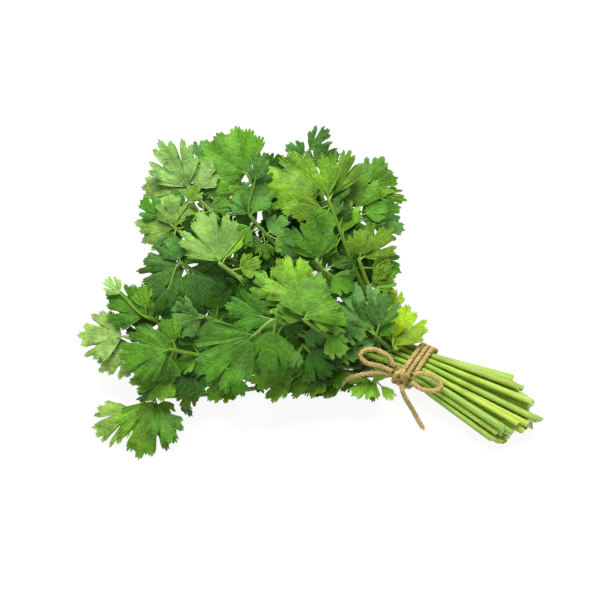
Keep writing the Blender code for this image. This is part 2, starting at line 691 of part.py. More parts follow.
def tidy_solid(mesh):
    """Merge points that a union left together, split into triangles, and say if it is closed."""
    work = bmesh.new()
    work.from_mesh(mesh)
    bmesh.ops.remove_doubles(work, verts=work.verts, dist=0.001 * MM)
    bmesh.ops.dissolve_degenerate(work, edges=work.edges, dist=0.0005 * MM)
    bmesh.ops.triangulate(work, faces=work.faces)
    closed = all(edge.is_manifold for edge in work.edges)
    work.to_mesh(mesh)
    work.free()
    return closed


def paint(made, colour, roughness):
    """Give the object its own material."""
    material = bpy.data.materials.new(made.name)
    material.use_nodes = True
    shader = material.node_tree.nodes["Principled BSDF"]
    shader.inputs["Base Color"].default_value = (*colour, 1)
    shader.inputs["Roughness"].default_value = roughness
    shader.inputs["Metallic"].default_value = 0
    made.data.materials.clear()
    made.data.materials.append(material)


def stem_rings(route):
    """The points of a route that the plain stem is drawn through."""
    neck = PATH_POINTS // 4 + 1
    last = PATH_POINTS - 1
    reach = (route[last] - route[neck]).length
    count = min(STEM_RINGS, max(3, round(reach / RING_SPACING)))
    shares = [(k / count) ** 1.25 for k in range(count + 1)]
    return [0, neck - 1] + [round(neck + (last - neck) * share) for share in shares]


def body_of(made, owner):
    """A scene object as a solid that leaflets keep clear of, in millimetres."""
    points = [v.co / MM for v in made.data.vertices]
    faces = [tuple(f.vertices) for f in made.data.polygons]
    return make_body(points, faces, owner)


def make_twine(slots, height):
    """The wrap with its knot, and the bow's loops and tails."""
    wrap_points = wrap_route(slots, height)
    wrap = tube("twine_wrap", wrap_points, [TWINE_RADIUS] * len(wrap_points), 1)
    rings = []
    for number, (radius, axis, shift) in enumerate(KNOT_RINGS):
        centre = Vector(KNOT) + Vector(shift)
        points = ring_route(centre, radius, axis)
        rings.append(tube(f"knot_ring_{number}", points, [TWINE_RADIUS] * len(points), 1, closed=True))
    fuse(wrap, rings)
    sole = min(v.co.z for v in wrap.data.vertices) + WRAP_SOLE * MM
    for vertex in wrap.data.vertices:
        if vertex.co.z < sole:
            vertex.co.z = 0.0
    pieces = [wrap]
    for name, marks in BOW.items():
        points = smooth_route(marks, 2.4 * TWINE_RADIUS * 2)
        pieces.append(tube(name, points, [TWINE_RADIUS] * len(points), 2))
    for piece in pieces:
        paint(piece, TWINE_COLOUR, 0.85)
    return pieces


def main():
    for old in list(bpy.data.objects):
        bpy.data.objects.remove(old)
    slots = bundle_slots(len(STEMS))
    height = tie_height(slots)
    lowest = min(up for _, up in slots)
    places = assign_slots(slots)
    draws = [random.Random(SEED * 10 + stem) for stem in range(len(STEMS))]
    radii = [stem_radii(draw) for draw in draws]
    spots = cut_places(places, lowest, radii)
    routes = []
    for (_, fork, _, _), place, spot, draw in zip(STEMS, places, spots, draws):
        routes.append(stem_route(fork, place, height, spot, draw))
    posts = [point for marks in BOW.values() for point in smooth_route(marks, 3.0)]
    routes = relax_routes(routes, radii, posts)
    twine = make_twine(slots, height)
    bodies = [body_of(piece, -1) for piece in twine]
    stems = []
    for stem, (name, _, _, _) in enumerate(STEMS):
        picks = stem_rings(routes[stem])
        points = [routes[stem][k] for k in picks]
        made = tube("stem_" + name, points, [radii[stem][k] for k in picks], 1)
        bodies.append(body_of(made, stem))
        stems.append(made)
    leaves = lay_leaflets(routes, bodies)
    for stem, (name, _, tone, leaflets) in enumerate(STEMS):
        blades = [leaf_object(f"leaf_{name}_{n}", leaf) for n, leaf in enumerate(leaves[stem])]
        fuse(stems[stem], blades)
        paint(stems[stem], TONES[tone], 0.5)
    for made in stems + twine:
        made.data.transform(Matrix.Translation((-ORIGIN[0] * MM, -ORIGIN[1] * MM, 0)))


main()
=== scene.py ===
"""Coriander bunch, laid out as an add-on: fine leaves, ribbed stems and twisted jute twine over
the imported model, with a pale floor, soft light and a camera.

The leaflets are laid by the same rule as the model's own, so each fine leaflet keeps the place,
size and edge of its plain one.  Layout tables are in millimetres, seen from the tie's middle.
"""

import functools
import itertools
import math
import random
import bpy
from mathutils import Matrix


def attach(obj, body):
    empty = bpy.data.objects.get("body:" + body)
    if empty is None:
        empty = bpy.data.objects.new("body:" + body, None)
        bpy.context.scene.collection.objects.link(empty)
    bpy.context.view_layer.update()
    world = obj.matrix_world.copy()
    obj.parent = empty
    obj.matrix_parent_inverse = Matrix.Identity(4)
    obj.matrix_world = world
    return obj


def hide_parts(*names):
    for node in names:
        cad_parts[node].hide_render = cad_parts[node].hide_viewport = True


bl_info = {
    "name": "Coriander Bunch",
    "version": (1, 0, 0),
    "blender": (4, 5, 0),
    "location": "View3D > Sidebar > Coriander",
    "description": "Builds a tied bunch of fresh coriander on a pale floor",
    "category": "Object",
}

import bmesh
import bpy
import numpy as np
from mathutils import Matrix, Vector
from mathutils.bvhtree import BVHTree

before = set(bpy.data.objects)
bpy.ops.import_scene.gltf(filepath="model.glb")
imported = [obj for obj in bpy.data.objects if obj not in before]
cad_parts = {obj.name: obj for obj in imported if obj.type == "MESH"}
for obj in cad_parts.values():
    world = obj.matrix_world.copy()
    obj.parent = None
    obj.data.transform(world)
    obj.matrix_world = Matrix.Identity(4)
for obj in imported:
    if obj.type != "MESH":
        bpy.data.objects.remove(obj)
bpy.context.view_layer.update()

MM = 0.001
SEED = 7

# Middle of the bunch's box on the surface, seen from the middle of the tie.
ORIGIN = (-54.29, -5.27)

# Stems, round the tie and out to the cut.
STEM_RADIUS_TIE = 1.5
STEM_RADIUS_CUT = (1.55, 2.35)
STEM_RADIUS_FORK = 1.05
STEM_PITCH = 3.45
BUNDLE_ROWS = range(-5, 6)
BUNDLE_COLUMNS = range(-7, 8)
BUNDLE_FLATNESS = 1.4
FAN_COLUMNS = 7
STEM_CLEARANCE = 0.7
STEM_ARCH = 0.7
NECK_SPREAD = 0.25
NECK_WIDE = 60
NECK_PULL = 0.8
FORK_PULL = 0.9
TIE = (-2.6, 4.7)
TIE_HALF_LENGTH = 8.5
CUT_PLANE = 80.0
CUT_SPREAD = 2.1
CUT_LIFT = 0.95
CUT_STRAY = 1.5
CUT_SETTLE = 0.04
CUT_ROUNDS = 90
CUT_ROOM = 1.1
CUT_CLEARANCE = 0.15
CUT_REACH = 70.5
CUT_SLOPES = (0.8, 1.3)
CUT_PEAK = 5.0
CUT_ASIDE = 0.8
CUT_UNEVEN = 3.5
PATH_POINTS = 34
CUT_POINTS = PATH_POINTS // 4
STEM_RINGS = 6
RING_SPACING = 23.0
RING_CROWDING = 1.25
RELAX_ROUNDS = 80
RELAX_STEP = 0.6
RELAX_ALONG = 0.2
RELAX_SMOOTHING = 0.5
RELAX_CLEARANCE = 0.2

# Jute twine.
TWINE_RADIUS = 1.3
TWINE_GAP = 0.3
WRAP_TURNS = 3
WRAP_STEPS = 12
WRAP_PITCH = 2.95
WRAP_SLANT = 2.6
WRAP_START = math.radians(105)
WRAP_FLAT = 0.3
KNOT = (-4.5, -9.3, 25.1)
BOW_STEP = 2.4 * TWINE_RADIUS * 2
POST_STEP = 3.0

# Leaflets; the last few values say how far a leaflet strays where it finds no room.
BLADE_THICKNESS = 0.72
GUARD_THICKNESS = 1.6
GUARD_GROWTH = 1.03
STALK_WIDTH = 1.5
FIT_TRIES = 70
STRICT_SHARE = 0.6
LARGE_LEAFLET = 23.2
TINY_LEAFLET = 16.5
LARGE_RIM = 19
FLOOR_CLEARANCE = 0.05
SETTLE_HEIGHT = 8.0
SETTLE_ROUNDS = 7
FLAT_HEIGHTS = (10, 32)
TURN_STRAY = (4, 40)
TILT_STRAY = (0.16, 0.55)
SHRINK_STRAY = 0.35
STALK_STRAY = (1.2, 3)
BEND = 0.10
FOOT_REACH = 0.42
LOBE_SHARE = 0.65
LOBE_POWER = 1.4
UNEVEN = (0.95, 1.05)
RIDGE = 0.016
FOLD_SOFTNESS = 0.15
INNER_REACH = 0.8
INNER_SIDE = 0.62
STALK_THICKNESS = 0.75
LEAST_ARM = 6.0

# The side of the bunch that most leaf faces turn to, where the camera is too: azimuth from -Y,
# then elevation; and its sideways, upward and outward directions.
FACING_AZIMUTH = math.radians(27)
FACING_ELEVATION = math.radians(60)
SIDEWAYS = Vector((math.cos(FACING_AZIMUTH), math.sin(FACING_AZIMUTH), 0))
OUTWARD = Vector((math.sin(FACING_AZIMUTH) * math.cos(FACING_ELEVATION),
                  -math.cos(FACING_AZIMUTH) * math.cos(FACING_ELEVATION), math.sin(FACING_ELEVATION)))
UPWARD = OUTWARD.cross(SIDEWAYS)

# Leaf forms: half-angle of the fan, reach of the side lobes, depth of the slits between the
# lobes, depth of the teeth, fold along the midrib and arch from foot to tip.
FORMS = {
    "fan": (95, 0.84, 0.24, 0.12, 0.10, 0.10),
    "lobed": (68, 0.78, 0.40, 0.15, 0.10, 0.18),
    "cut": (56, 0.78, 0.58, 0.17, 0.12, 0.16),
    "folded": (60, 0.72, 0.30, 0.10, 0.85, 0.10),
    "arched": (68, 0.78, 0.34, 0.12, -0.15, 0.55),
    "narrow": (36, 0.82, 0.42, 0.16, 0.14, 0.14),
}

# Leafy stems: name, fork where the leaf stalks part (x, y, z), tone, and the leaflets as
# (turn in degrees within the facing plane, length, form, stalk length, distance down the stem).
# The tone "dark" is painted shade for leaves inside and under the bunch.
STEMS = (
    ("bright_centre", (-56, -25, 68), "light",
     ((68, 22, "fan", 1, 0), (5, 17, "lobed", 2, 0), (140, 13, "lobed", 4, 6))),
    ("great_cut", (-69.5, -30.5, 66), "mid",
     ((217, 37, "cut", 13, 0), (259, 24, "lobed", 5, 1), (238, 24, "cut", 8, 8),
      (165, 21, "lobed", 8, 4))),
    ("palest", (-113, -11, 60), "pale",
     ((112, 30, "lobed", 1, 0), (64, 18, "narrow", 3, 2), (18, 13, "lobed", 4, 8))),
    ("upright", (-78, 48, 66), "light",
     ((98, 24, "narrow", 1, 0), (70, 29, "narrow", 2, 0), (195, 17, "lobed", 4, 4),
      (85, 20, "folded", 3, 24))),
    ("round_top", (-129, 50, 54), "mid",
     ((148, 31, "fan", 1, 0), (232, 15, "lobed", 4, 4), (20, 12, "lobed", 3, 10))),
    ("arched", (-86, 60, 56), "light",
     ((163, 35, "arched", 1, 0), (182, 19, "lobed", 3, 8), (75, 14, "lobed", 4, 6))),
    ("crown_left", (-155, 29, 50), "pale",
     ((120, 30, "cut", 1, 0), (174, 26, "lobed", 2, 2), (60, 18, "lobed", 3, 4),
      (250, 12, "lobed", 3, 6))),
    ("blue_west", (-133, -18, 56), "blue",
     ((222, 26, "lobed", 1, 0), (285, 22, "lobed", 3, 3), (178, 20, "lobed", 3, 3),
      (325, 20, "lobed", 5, 8))),
    ("folded", (-113, 23, 60), "blue",
     ((72, 21, "folded", 1, 0), (125, 15, "lobed", 2, 2), (215, 12, "lobed", 4, 8))),
    ("centre_top", (-64, -14, 62), "light",
     ((120, 26, "lobed", 1, 0), (85, 20, "lobed", 2, 2), (165, 17, "cut", 4, 5))),
    ("blue_ternate", (-25.5, -1, 37.5), "blue",
     ((122, 30, "cut", 2, 0), (177, 24, "lobed", 4, 1), (92, 24, "cut", 3, 2))),
    ("yellow_tie", (-14.5, 1, 28), "yellow",
     ((70, 26, "lobed", 1, 0), (104, 14, "cut", 17, 1), (122, 19, "lobed", 3, 3))),
    ("olive", (-51, 31, 49), "olive",
     ((45, 25, "cut", 2, 0), (85, 15, "lobed", 3, 2), (10, 13, "cut", 4, 6))),
    ("dark_pair", (-67, 14, 58), "mid",
     ((135, 25, "cut", 2, 0), (106, 23, "lobed", 2, 0), (82, 16, "lobed", 3, 3),
      (325, 14, "lobed", 6, 4))),
    ("east_upper", (-70, 79, 45), "mid",
     ((60, 18, "lobed", 2, 0), (8, 17, "lobed", 2, 1), (342, 19, "narrow", 4, 3),
      (150, 14, "lobed", 4, 8))),
    ("mid_upper", (-66, 58, 50), "mid",
     ((86, 23, "lobed", 1, 0), (262, 23, "lobed", 2, 2), (20, 14, "lobed", 4, 4))),
    ("yellow_east", (-40, 21, 43), "olive",
     ((30, 15, "cut", 1, 0), (345, 13, "cut", 2, 1), (78, 13, "cut", 2, 1),
      (200, 14, "lobed", 4, 6))),
    ("finger_top", (-109, 82, 48), "blue",
     ((48, 17, "cut", 2, 0), (150, 12, "lobed", 2, 4), (200, 15, "lobed", 4, 8))),
    ("west_light", (-150, 5, 46), "light",
     ((98, 19, "lobed", 1, 0), (165, 22, "lobed", 2, 1), (195, 19, "lobed", 3, 3),
      (50, 12, "lobed", 3, 3))),
    ("bright_front", (-18, -15.5, 17), "light",
     ((182, 16, "lobed", 1, 0), (262, 11, "narrow", 1, 0), (312, 11, "narrow", 4, 0))),
    ("long_dark", (-42, -26, 33), "dark",
     ((188, 31, "lobed", 2, 0), (191, 24, "lobed", 18, 1), (214, 20, "lobed", 3, 3))),
    ("low_front", (-30, -23, 20), "mid",
     ((176, 23, "lobed", 3, 0), (191, 15, "lobed", 4, 1), (160, 17, "lobed", 6, 6))),
    ("centre_under", (-60, -23, 51), "mid",
     ((142, 26, "lobed", 4, 0), (128, 17, "lobed", 20, 1), (200, 14, "lobed", 6, 8))),
    ("far_west", (-146, -60, 32), "pale",
     ((172, 26, "lobed", 1, 0), (222, 24, "lobed", 3, 8), (262, 14, "lobed", 4, 8))),
    ("west_mid", (-117, -60, 42), "mid",
     ((184, 28, "lobed", 1, 0), (240, 16, "lobed", 3, 3), (120, 15, "lobed", 4, 5))),
    ("west_dark", (-139, -48, 40), "mid",
     ((150, 24, "lobed", 1, 0), (100, 15, "cut", 4, 1), (152, 19, "lobed", 3, 12),
      (140, 12, "cut", 18, 1))),
    ("west_blue", (-108, -37, 48), "blue",
     ((190, 18, "lobed", 2, 0), (158, 15, "cut", 6, 2), (228, 18, "lobed", 6, 4))),
    ("great_low", (-121, -76, 11), "mid",
     ((258, 32, "lobed", 2, 0), (210, 27, "cut", 12, 1), (290, 18, "lobed", 10, 2),
      (150, 14, "lobed", 4, 5))),
    ("south_west", (-111, -60, 28), "light",
     ((192, 28, "lobed", 1, 0), (158, 18, "lobed", 4, 2), (285, 14, "fan", 3, 4))),
    ("grey_front", (-55, -28, 46), "olive",
     ((218, 16, "lobed", 3, 0), (310, 18, "lobed", 3, 1), (262, 14, "lobed", 4, 8))),
    ("dark_low", (-87, -45, 11), "dark",
     ((212, 18, "lobed", 2, 0), (238, 13, "lobed", 3, 2), (190, 15, "lobed", 6, 4))),
    ("inner_dark", (-118, 6, 38), "dark",
     ((170, 27, "lobed", 2, 0), (100, 20, "lobed", 3, 2), (240, 18, "lobed", 4, 4))),
    ("inner_mid", (-87, -12, 40), "dark",
     ((150, 24, "lobed", 2, 0), (200, 22, "lobed", 4, 3), (100, 20, "lobed", 4, 3))),
    ("back_low", (-100, 62, 14), "dark",
     ((120, 24, "lobed", 2, 0), (60, 20, "lobed", 4, 3), (170, 20, "lobed", 4, 3))),
    ("back_east_low", (-62, 52, 12), "dark",
     ((70, 20, "lobed", 2, 0), (130, 18, "lobed", 4, 3), (20, 16, "lobed", 4, 3))),
)

# Leaflets that fill the inside of the bunch, one on each longer stem.
FILL_REACH = 128.0
FILL_BACK = 30.0
FILL_LENGTHS = (15.0, 20.0)
FILL_STALK = 6.0

# The bow: routes of its loops and tails, from the knot.
BOW = {
    "twine_loop_left": (
        (-10.2, -8.7, 28.5), (-14.7, -6.7, 32.3), (-21.2, -7.7, 35.3), (-26.2, -10.7, 36.3),
        (-27.5, -14.5, 35.3), (-23.2, -15.7, 32.7), (-16.2, -12.7, 29.7), (-10.3, -11.3, 26.9)),
    "twine_loop_right": (
        (1.1, -8.3, 27.3), (4.5, -5.7, 27.5), (10.3, -4.5, 27.1), (15.1, -4.9, 26.3),
        (16.9, -7.7, 25.4), (13.7, -11.1, 24.5), (7.9, -12.5, 24.4), (1.7, -11.3, 24.7)),
    "twine_tail_left": (
        (-9.7, -11.9, 23.7), (-13.7, -13.7, 25.9), (-18.7, -17.2, 27.6), (-24.4, -21.6, 27.4),
        (-29.8, -25.6, 24.8), (-31.6, -27.8, 20.8)),
    "twine_tail_front": (
        (-2.8, -14, 21.9), (-0.6, -16.4, 19.4), (2.2, -17.4, 14.6), (5.4, -17.6, 9.2),
        (8.8, -18.6, 4.8), (12.4, -20.6, 2.4), (15.4, -22.4, 1.5)),
}

# Rings of twine that make the knot: radius, axis and shift from the knot's middle.
KNOT_RINGS = (
    (2.7, (1.0, 0.2, 0.1), (0.2, 0.5, 0)),
    (2.6, (0.35, 1.0, 0.5), (0.5, 1.3, -1.3)),
    (2.4, (0.8, -0.9, 0.4), (-1.2, -1.6, -0.2)),
)


# Fine leaflets: steps between the edge's marks and rings from foot to rim, by marks on the edge;
# how far the edge has fallen from a tooth's tip to the notch beside it, where the notch is shallow
# and where it is deep; and the small teeth.
FINE_STEPS = {19: (8, 7), 15: (8, 6), 13: (5, 4)}
FILL_STEPS = (4, 3)
FALLS = {
    8: ((0.0, 0.03, 0.08, 0.15, 0.25, 0.38, 0.56, 0.80),
        (0.0, 0.01, 0.04, 0.10, 0.20, 0.36, 0.60, 0.86)),
    5: ((0.0, 0.06, 0.18, 0.38, 0.68), (0.0, 0.03, 0.10, 0.26, 0.62)),
    4: ((0.0, 0.08, 0.26, 0.60), (0.0, 0.06, 0.22, 0.58)),
}
TEETH = {
    8: (0.0, 0.25, 1.0, 0.25, 0.0, 0.25, 1.0, 0.2),
    5: (0.0, 0.9, 0.1, 0.8, 0.1),
    4: (0.0, 0.8, 0.0, 0.7),
}
TOOTH_DEPTH = 0.06
TOOTH_SPREAD = (0.6, 1.25)
TOOTH_SHIFT = 0.008
SLIT_SHARE = 0.72
NOTCH_FILL = 0.3
SIDE_HOLLOW = 0.07
MAIN_VEINS = (-0.87, -0.45, 0.0, 0.45, 0.87)
FINE_THICKNESS = 0.34

# The blade's own swells, as shares of its length: rippled rim, curled rim and sagging middle.
RIPPLES = (0.012, 0.028)
RIPPLE_TURNS = 7
CURLS = (-0.03, 0.08)
SAGS = (0.03, 0.10)
SAG_TURNS = 2.2
VEIN_CREASE = 0.009
CREASE_WIDTH = 3.5
EDGE_LIGHT = 1.2

# Small leaflets added inside the bunch: distances down each stem, lengths, forms and tones.
EXTRA_BACKS = (9.0, 16.0, 23.0, 36.0, 44.0, 54.0)
EXTRA_LENGTHS = (10.0, 17.0)
EXTRA_FORMS = ("lobed", "cut", "lobed")
EXTRA_STALK = 4.0
EXTRA_TRIES = 24
EXTRA_SHIFT = 3
EXTRA_WANDER = 0.1
EXTRA_MIDDLE = 0.6
EXTRA_REACH = 40.0
# The dark tone among these is painted shade for leaflets inside the bunch.
EXTRA_TONES = ("mid", "mid", "dark", "dark", "dark", "blue", "soft")

# Gaps that small leaflets close, all measured across and up the side that the leaves face: the
# box that is looked through, its step, what counts as a gap, and the gaps that stay open.
SEEN_FROM = 160.0
GAP_BOX = (-150, -12, -18, 125)
GAP_STEP = 4
GAP_REACH = 9.0
GAP_SIDES = 6
GAP_STEMS = 4
GAP_TRIES = 20
GAP_LEAFLET_MIDDLE = 0.55
STEM_REACH = 26.0
BARE_STEM_SHARE = 0.6
NECK_CLEAR = 8.0
OPEN_GAPS = ((-84.0, 92.0, 7.0), (-65.2, 99.0, 6.5), (-92.5, 57.0, 4.0), (-138.8, 38.9, 4.5),
             (-38.0, 5.5, 5.0))
LOWEST_SEEN = -7.5
LOWEST_FROM = -95.0

# Small leaflets at the neck, across and up, then turn, length, form and tone.
NECK_LEAFLETS = (
    (-20.5, 22.5, 185, 21.0, "cut", "blue"),
    (-35.0, 18.5, 200, 16.0, "lobed", "dark"),
    (-38.0, 12.5, 220, 13.0, "lobed", "mid"),
    (-24.0, 13.5, 150, 10.0, "lobed", "dark"),
    (-8.5, 15.0, 120, 8.0, "lobed", "light"),
    (-46.5, 22.0, 190, 16.0, "lobed", "mid"),
    (-50.0, 14.0, 215, 15.0, "cut", "dark"),
    (-57.0, 25.0, 200, 15.0, "lobed", "mid"),
    (-42.0, 6.0, 200, 13.0, "lobed", "mid"),
    (-31.0, 1.5, 195, 10.0, "lobed", "soft"),
    (-62.0, 14.0, 190, 15.0, "cut", "mid"),
)
NECK_REACH = 4.0
NECK_TRIES = 72

# Camera, in metres: its distance, the point that it looks at, and its lens.
CAMERA_DISTANCE = 0.779
CAMERA_TARGET = Vector((-0.01971, 0.01177, 0.025))
CAMERA_LENS = 85.0

# Finer stems and stalks, in millimetres.  The cut's face and the tip go inwards or on by a
# distance, then have a share of the radius; a stalk grows with its leaflet and tapers.
STEM_SIDES = 15
STEM_STEP = 2.6
STEM_RIBS = 5
STEM_RIB = 0.06
CUT_SLANT = 0.7
CUT_FACE = ((0.5, 0.35), (0, 0.5), (0, 0.9), (0.3, 1))
PITH = (0.75, 0.78, 0.42)
# Past the tie a stem's colour moves over this length towards its leaves' tone, taking at most the share
# below: partly the leafy stem's own green, partly painted shade under the foliage.
NECK_FADE = 25.0
LEAF_GREEN_AND_SHADE_SHARE = 0.8
FORK_SIZE = 0.8
TIP = (0.8, 0.4)
STALK_SIDES = 6
STALK_STEP = 2.5
STALK_STEPS = (3, 8)
STALK_PULL = 0.9
STALK_UNDER = (3.0, 0.15)
STALK_RADIUS = (0.34, 0.011)
STALK_TAPER = (1.25, 0.45, 0.35)
STALK_GREEN = 0.45
SHARP_ANGLE = math.radians(50)

# Finer twine and its loose fibres, in millimetres or as shares of the radius or length.
ROPE_SIDES = 15
ROPE_STRANDS = 3
ROPE_CREST = 1.04
ROPE_GROOVE = 0.22
ROPE_SIZE = 0.97
ROPE_SWELL = 0.05
ROPE_WAVES = (0.9, 0.37)
ROPE_LOWEST = 1.05 * TWINE_RADIUS
FIBRE_RADIUS = 0.07
FIBRE_ROOT = 0.75
FIBRE_LEAN = (0.6, 2.0)
FIBRE_LENGTHS = (0.3, 1.0)
FIBRE_BEND = 0.3
FIBRE_TAPER = 0.35
FIBRE_LOWEST = 0.15
FRAY = 26
FRAY_BACK = 0.8
FRAY_SPREAD = 0.45
FRAY_LENGTHS = (0.6, 1.1)

# How far the shade of each kind of part strays from its colour, and the fibres' lighter tone.
LEAF_SHADE = 0.12
INNER_SHADE = 0.2
STALK_SHADE = 0.1
STEM_SHADE = 0.2
CUT_SHADE = 0.22
TWINE_SHADE = 0.05
FIBRE_SHADE = 0.15
FIBRE_LIGHT = 1.25

# Stage, in metres and watts.
FLOOR_HALF = 3.0
FLOOR_DROP = 0.0001
LIGHTS = (
    ("key", (-0.30, 0.40, 1.30), 0.9, 31.0),
    ("fill", (0.9, -0.9, 0.9), 0.9, 3.0),
)
WORLD_STRENGTH = 0.33
FLOOR_GLOW = 0.90

# Tones of the leaflets, in their order, where a stem's leaflets aren't all of its own tone.
# Partly the leaflets' own tones and partly painted light and shade: leaflets that lie in shade get
# lighter tones, and those in the key lamp's full light the half-lit soft tone.
LEAF_TONES = {
    "bright_centre": "soft soft soft",
    "palest": "fresh light light",
    "upright": "light olive olive",
    "round_top": "soft light",
    "arched": "light mid",
    "dark_pair": "dark",
    "east_upper": "soft soft olive",
    "mid_upper": "soft",
    "west_light": "fresh fresh fresh",
    "long_dark": "soft light light",
    "low_front": "soft light",
    "centre_under": "mid light",
    "west_dark": "mid light mid pale",
    "great_low": "light fresh",
    "south_west": "light light dark",
    "grey_front": "mid dark mid mid",
    "dark_low": "light soft light",
    "inner_mid": "dark dark mid",
    "back_low": "dark mid",
}


def smoothstep(value):
    """Ease from 0 to 1 as value goes from 0 to 1."""
    value = min(1.0, max(0.0, value))
    return value * value * (3 - 2 * value)


def bundle_slots(count):
    """Places of the stems across the tie, packed like a honeycomb, the nearest to the middle."""
    places = []
    for row in BUNDLE_ROWS:
        for column in BUNDLE_COLUMNS:
            across = (column + 0.5 * (row % 2) - 0.25) * STEM_PITCH
            up = (row + 0.5) * STEM_PITCH * math.sqrt(3) / 2
            ring = (abs(across / BUNDLE_FLATNESS) ** 3 + abs(up) ** 3) ** (1 / 3)
            places.append((ring, across, up))
    places.sort()
    return [(across, up) for _, across, up in places[:count]]


def tie_height(slots):
    """Height of the bundle's middle when its lowest stem lies on the twine below it."""
    lowest = min(up for _, up in slots)
    return 2 * TWINE_RADIUS + WRAP_FLAT + TWINE_GAP + STEM_RADIUS_TIE - lowest


def assign_slots(slots):
    """Give each stem the slot that keeps the fan in order, side to side and low to high."""
    height = tie_height(slots)
    forks = [fork for _, fork, _, _ in STEMS]
    count = len(STEMS)
    by_bearing = sorted(range(count), key=lambda i: math.atan2(forks[i][1], -forks[i][0]))
    by_side = sorted(slots)
    chosen = [None] * count
    for column in range(FAN_COLUMNS):
        part = slice(round(column * count / FAN_COLUMNS), round((column + 1) * count / FAN_COLUMNS))
        stems = sorted(by_bearing[part], key=lambda i: math.atan2(
            forks[i][2] - height, math.hypot(forks[i][0], forks[i][1])))
        for stem, place in zip(stems, sorted(by_side[part], key=lambda place: place[1])):
            chosen[stem] = place
    return chosen


def stem_radii(draw):
    """Radius of a stem at each of its route's points, from the cut to the fork."""
    cut_radius = draw.uniform(*STEM_RADIUS_CUT)
    radii = []
    for k in range(PATH_POINTS):
        if k <= CUT_POINTS:
            end, share = cut_radius, 1 - k / CUT_POINTS
        else:
            end, share = STEM_RADIUS_FORK, (k - CUT_POINTS) / (PATH_POINTS - 1 - CUT_POINTS)
        radii.append(STEM_RADIUS_TIE + (end - STEM_RADIUS_TIE) * share)
    return radii


def cut_places(places, lowest, radii):
    """Where each stem's line crosses a plane past the cut: strewn, apart, and on the surface."""
    draw = random.Random(SEED * 4)
    spots = []
    for (across, up), (radius, *_) in zip(places, radii):
        side = TIE[1] + across * CUT_SPREAD + draw.uniform(-CUT_STRAY, CUT_STRAY)
        rise = radius + (up - lowest) * CUT_LIFT + draw.uniform(-CUT_STRAY, CUT_STRAY)
        spots.append([side, rise])
    for _ in range(CUT_ROUNDS):
        for first in range(len(spots)):
            for second in range(first):
                apart = Vector(spots[first]) - Vector(spots[second])
                need = (radii[first][0] + radii[second][0]) * CUT_ROOM + STEM_CLEARANCE
                if apart.length < need:
                    push = apart.normalized() * (need - apart.length) * 0.5
                    for axis in range(2):
                        spots[first][axis] += push[axis]
                        spots[second][axis] -= push[axis]
        for spot, (radius, *_) in zip(spots, radii):
            spot[1] = max(spot[1] - CUT_SETTLE, radius + CUT_CLEARANCE)
    return spots


def bent_line(start, leaving, stop, arriving, t):
    """A point on the curve from start to stop that leaves and arrives in the given directions."""
    return ((2 * t**3 - 3 * t**2 + 1) * start + (t**3 - 2 * t**2 + t) * leaving
            + (3 * t**2 - 2 * t**3) * stop + (t**3 - t**2) * arriving)


def stem_route(fork, place, height, spot, draw):
    """Evenly numbered points from the cut, through the tie, to the fork."""
    across, up = place
    tie = Vector((TIE[0], TIE[1] + across, height + up))
    head = Vector(fork)
    reach = (head - tie).length
    leaving = Vector((TIE[0] + TIE_HALF_LENGTH, tie.y, tie.z))
    aside = spot[0] * CUT_ASIDE - CUT_PEAK
    cut_x = CUT_REACH - CUT_SLOPES[aside > 0] * abs(aside) + draw.uniform(-CUT_UNEVEN, CUT_UNEVEN)
    cut = leaving.lerp(Vector((CUT_PLANE, *spot)), (cut_x - leaving.x) / (CUT_PLANE - leaving.x))
    points = [cut.lerp(leaving, k / CUT_POINTS) for k in range(CUT_POINTS)] + [leaving]
    sideways = NECK_SPREAD * math.copysign(1, head.y) * min(1, abs(head.y) / NECK_WIDE)
    start = Vector((-1.0, sideways, 0)) * reach * NECK_PULL
    rise = (head - tie).normalized()
    end = Vector((rise.x, rise.y, rise.z + STEM_ARCH)).normalized() * reach * FORK_PULL
    neck = tie + Vector((-TIE_HALF_LENGTH, 0, 0))
    last = PATH_POINTS - len(points) - 1
    return points + [bent_line(neck, start, head, end, k / last) for k in range(last + 1)]


def pushes(flat, others, need):
    """How each point is pushed off the other points that lie nearer to it than they need to."""
    apart = flat[:, None, :] - others[None, :, :]
    distance = np.sqrt((apart**2).sum(axis=2)) + 1e-9
    push = np.maximum(need - distance, 0.0) / distance
    return (apart * push[:, :, None]).sum(axis=1)


def relax_routes(routes, radii, posts):
    """Push the routes apart, and off the twine's points, and keep them smooth and off the surface."""
    paths = np.array([[tuple(p) for p in route] for route in routes])
    radius = np.array(radii)
    stems, count, _ = paths.shape
    owner = np.repeat(np.arange(stems), count)
    reach = radius.reshape(-1)
    need = reach[:, None] + reach[None, :] + STEM_CLEARANCE
    need[owner[:, None] == owner[None, :]] = 0.0
    need_post = (reach + TWINE_RADIUS + 2 * STEM_CLEARANCE)[:, None]
    posts = np.array([tuple(post) for post in posts])
    fixed = np.zeros((stems, count), bool)
    fixed[:, : CUT_POINTS + 2] = True
    fixed[:, -1] = True
    for _ in range(RELAX_ROUNDS):
        flat = paths.reshape(-1, 3)
        shift = pushes(flat, flat, need) * 0.5 + pushes(flat, posts, need_post)
        shift = np.clip(shift, -RELAX_STEP, RELAX_STEP).reshape(stems, count, 3)
        shift[:, :, 0] *= RELAX_ALONG
        bend = np.zeros_like(paths)
        bend[:, 1:-1] = 0.25 * (paths[:, :-2] + paths[:, 2:] - 2 * paths[:, 1:-1])
        paths = np.where(fixed[:, :, None], paths, paths + shift + bend * RELAX_SMOOTHING)
        paths[:, :, 2] = np.maximum(paths[:, :, 2], radius + RELAX_CLEARANCE)
    return [[Vector(np.round(p, 2)) for p in path] for path in paths]


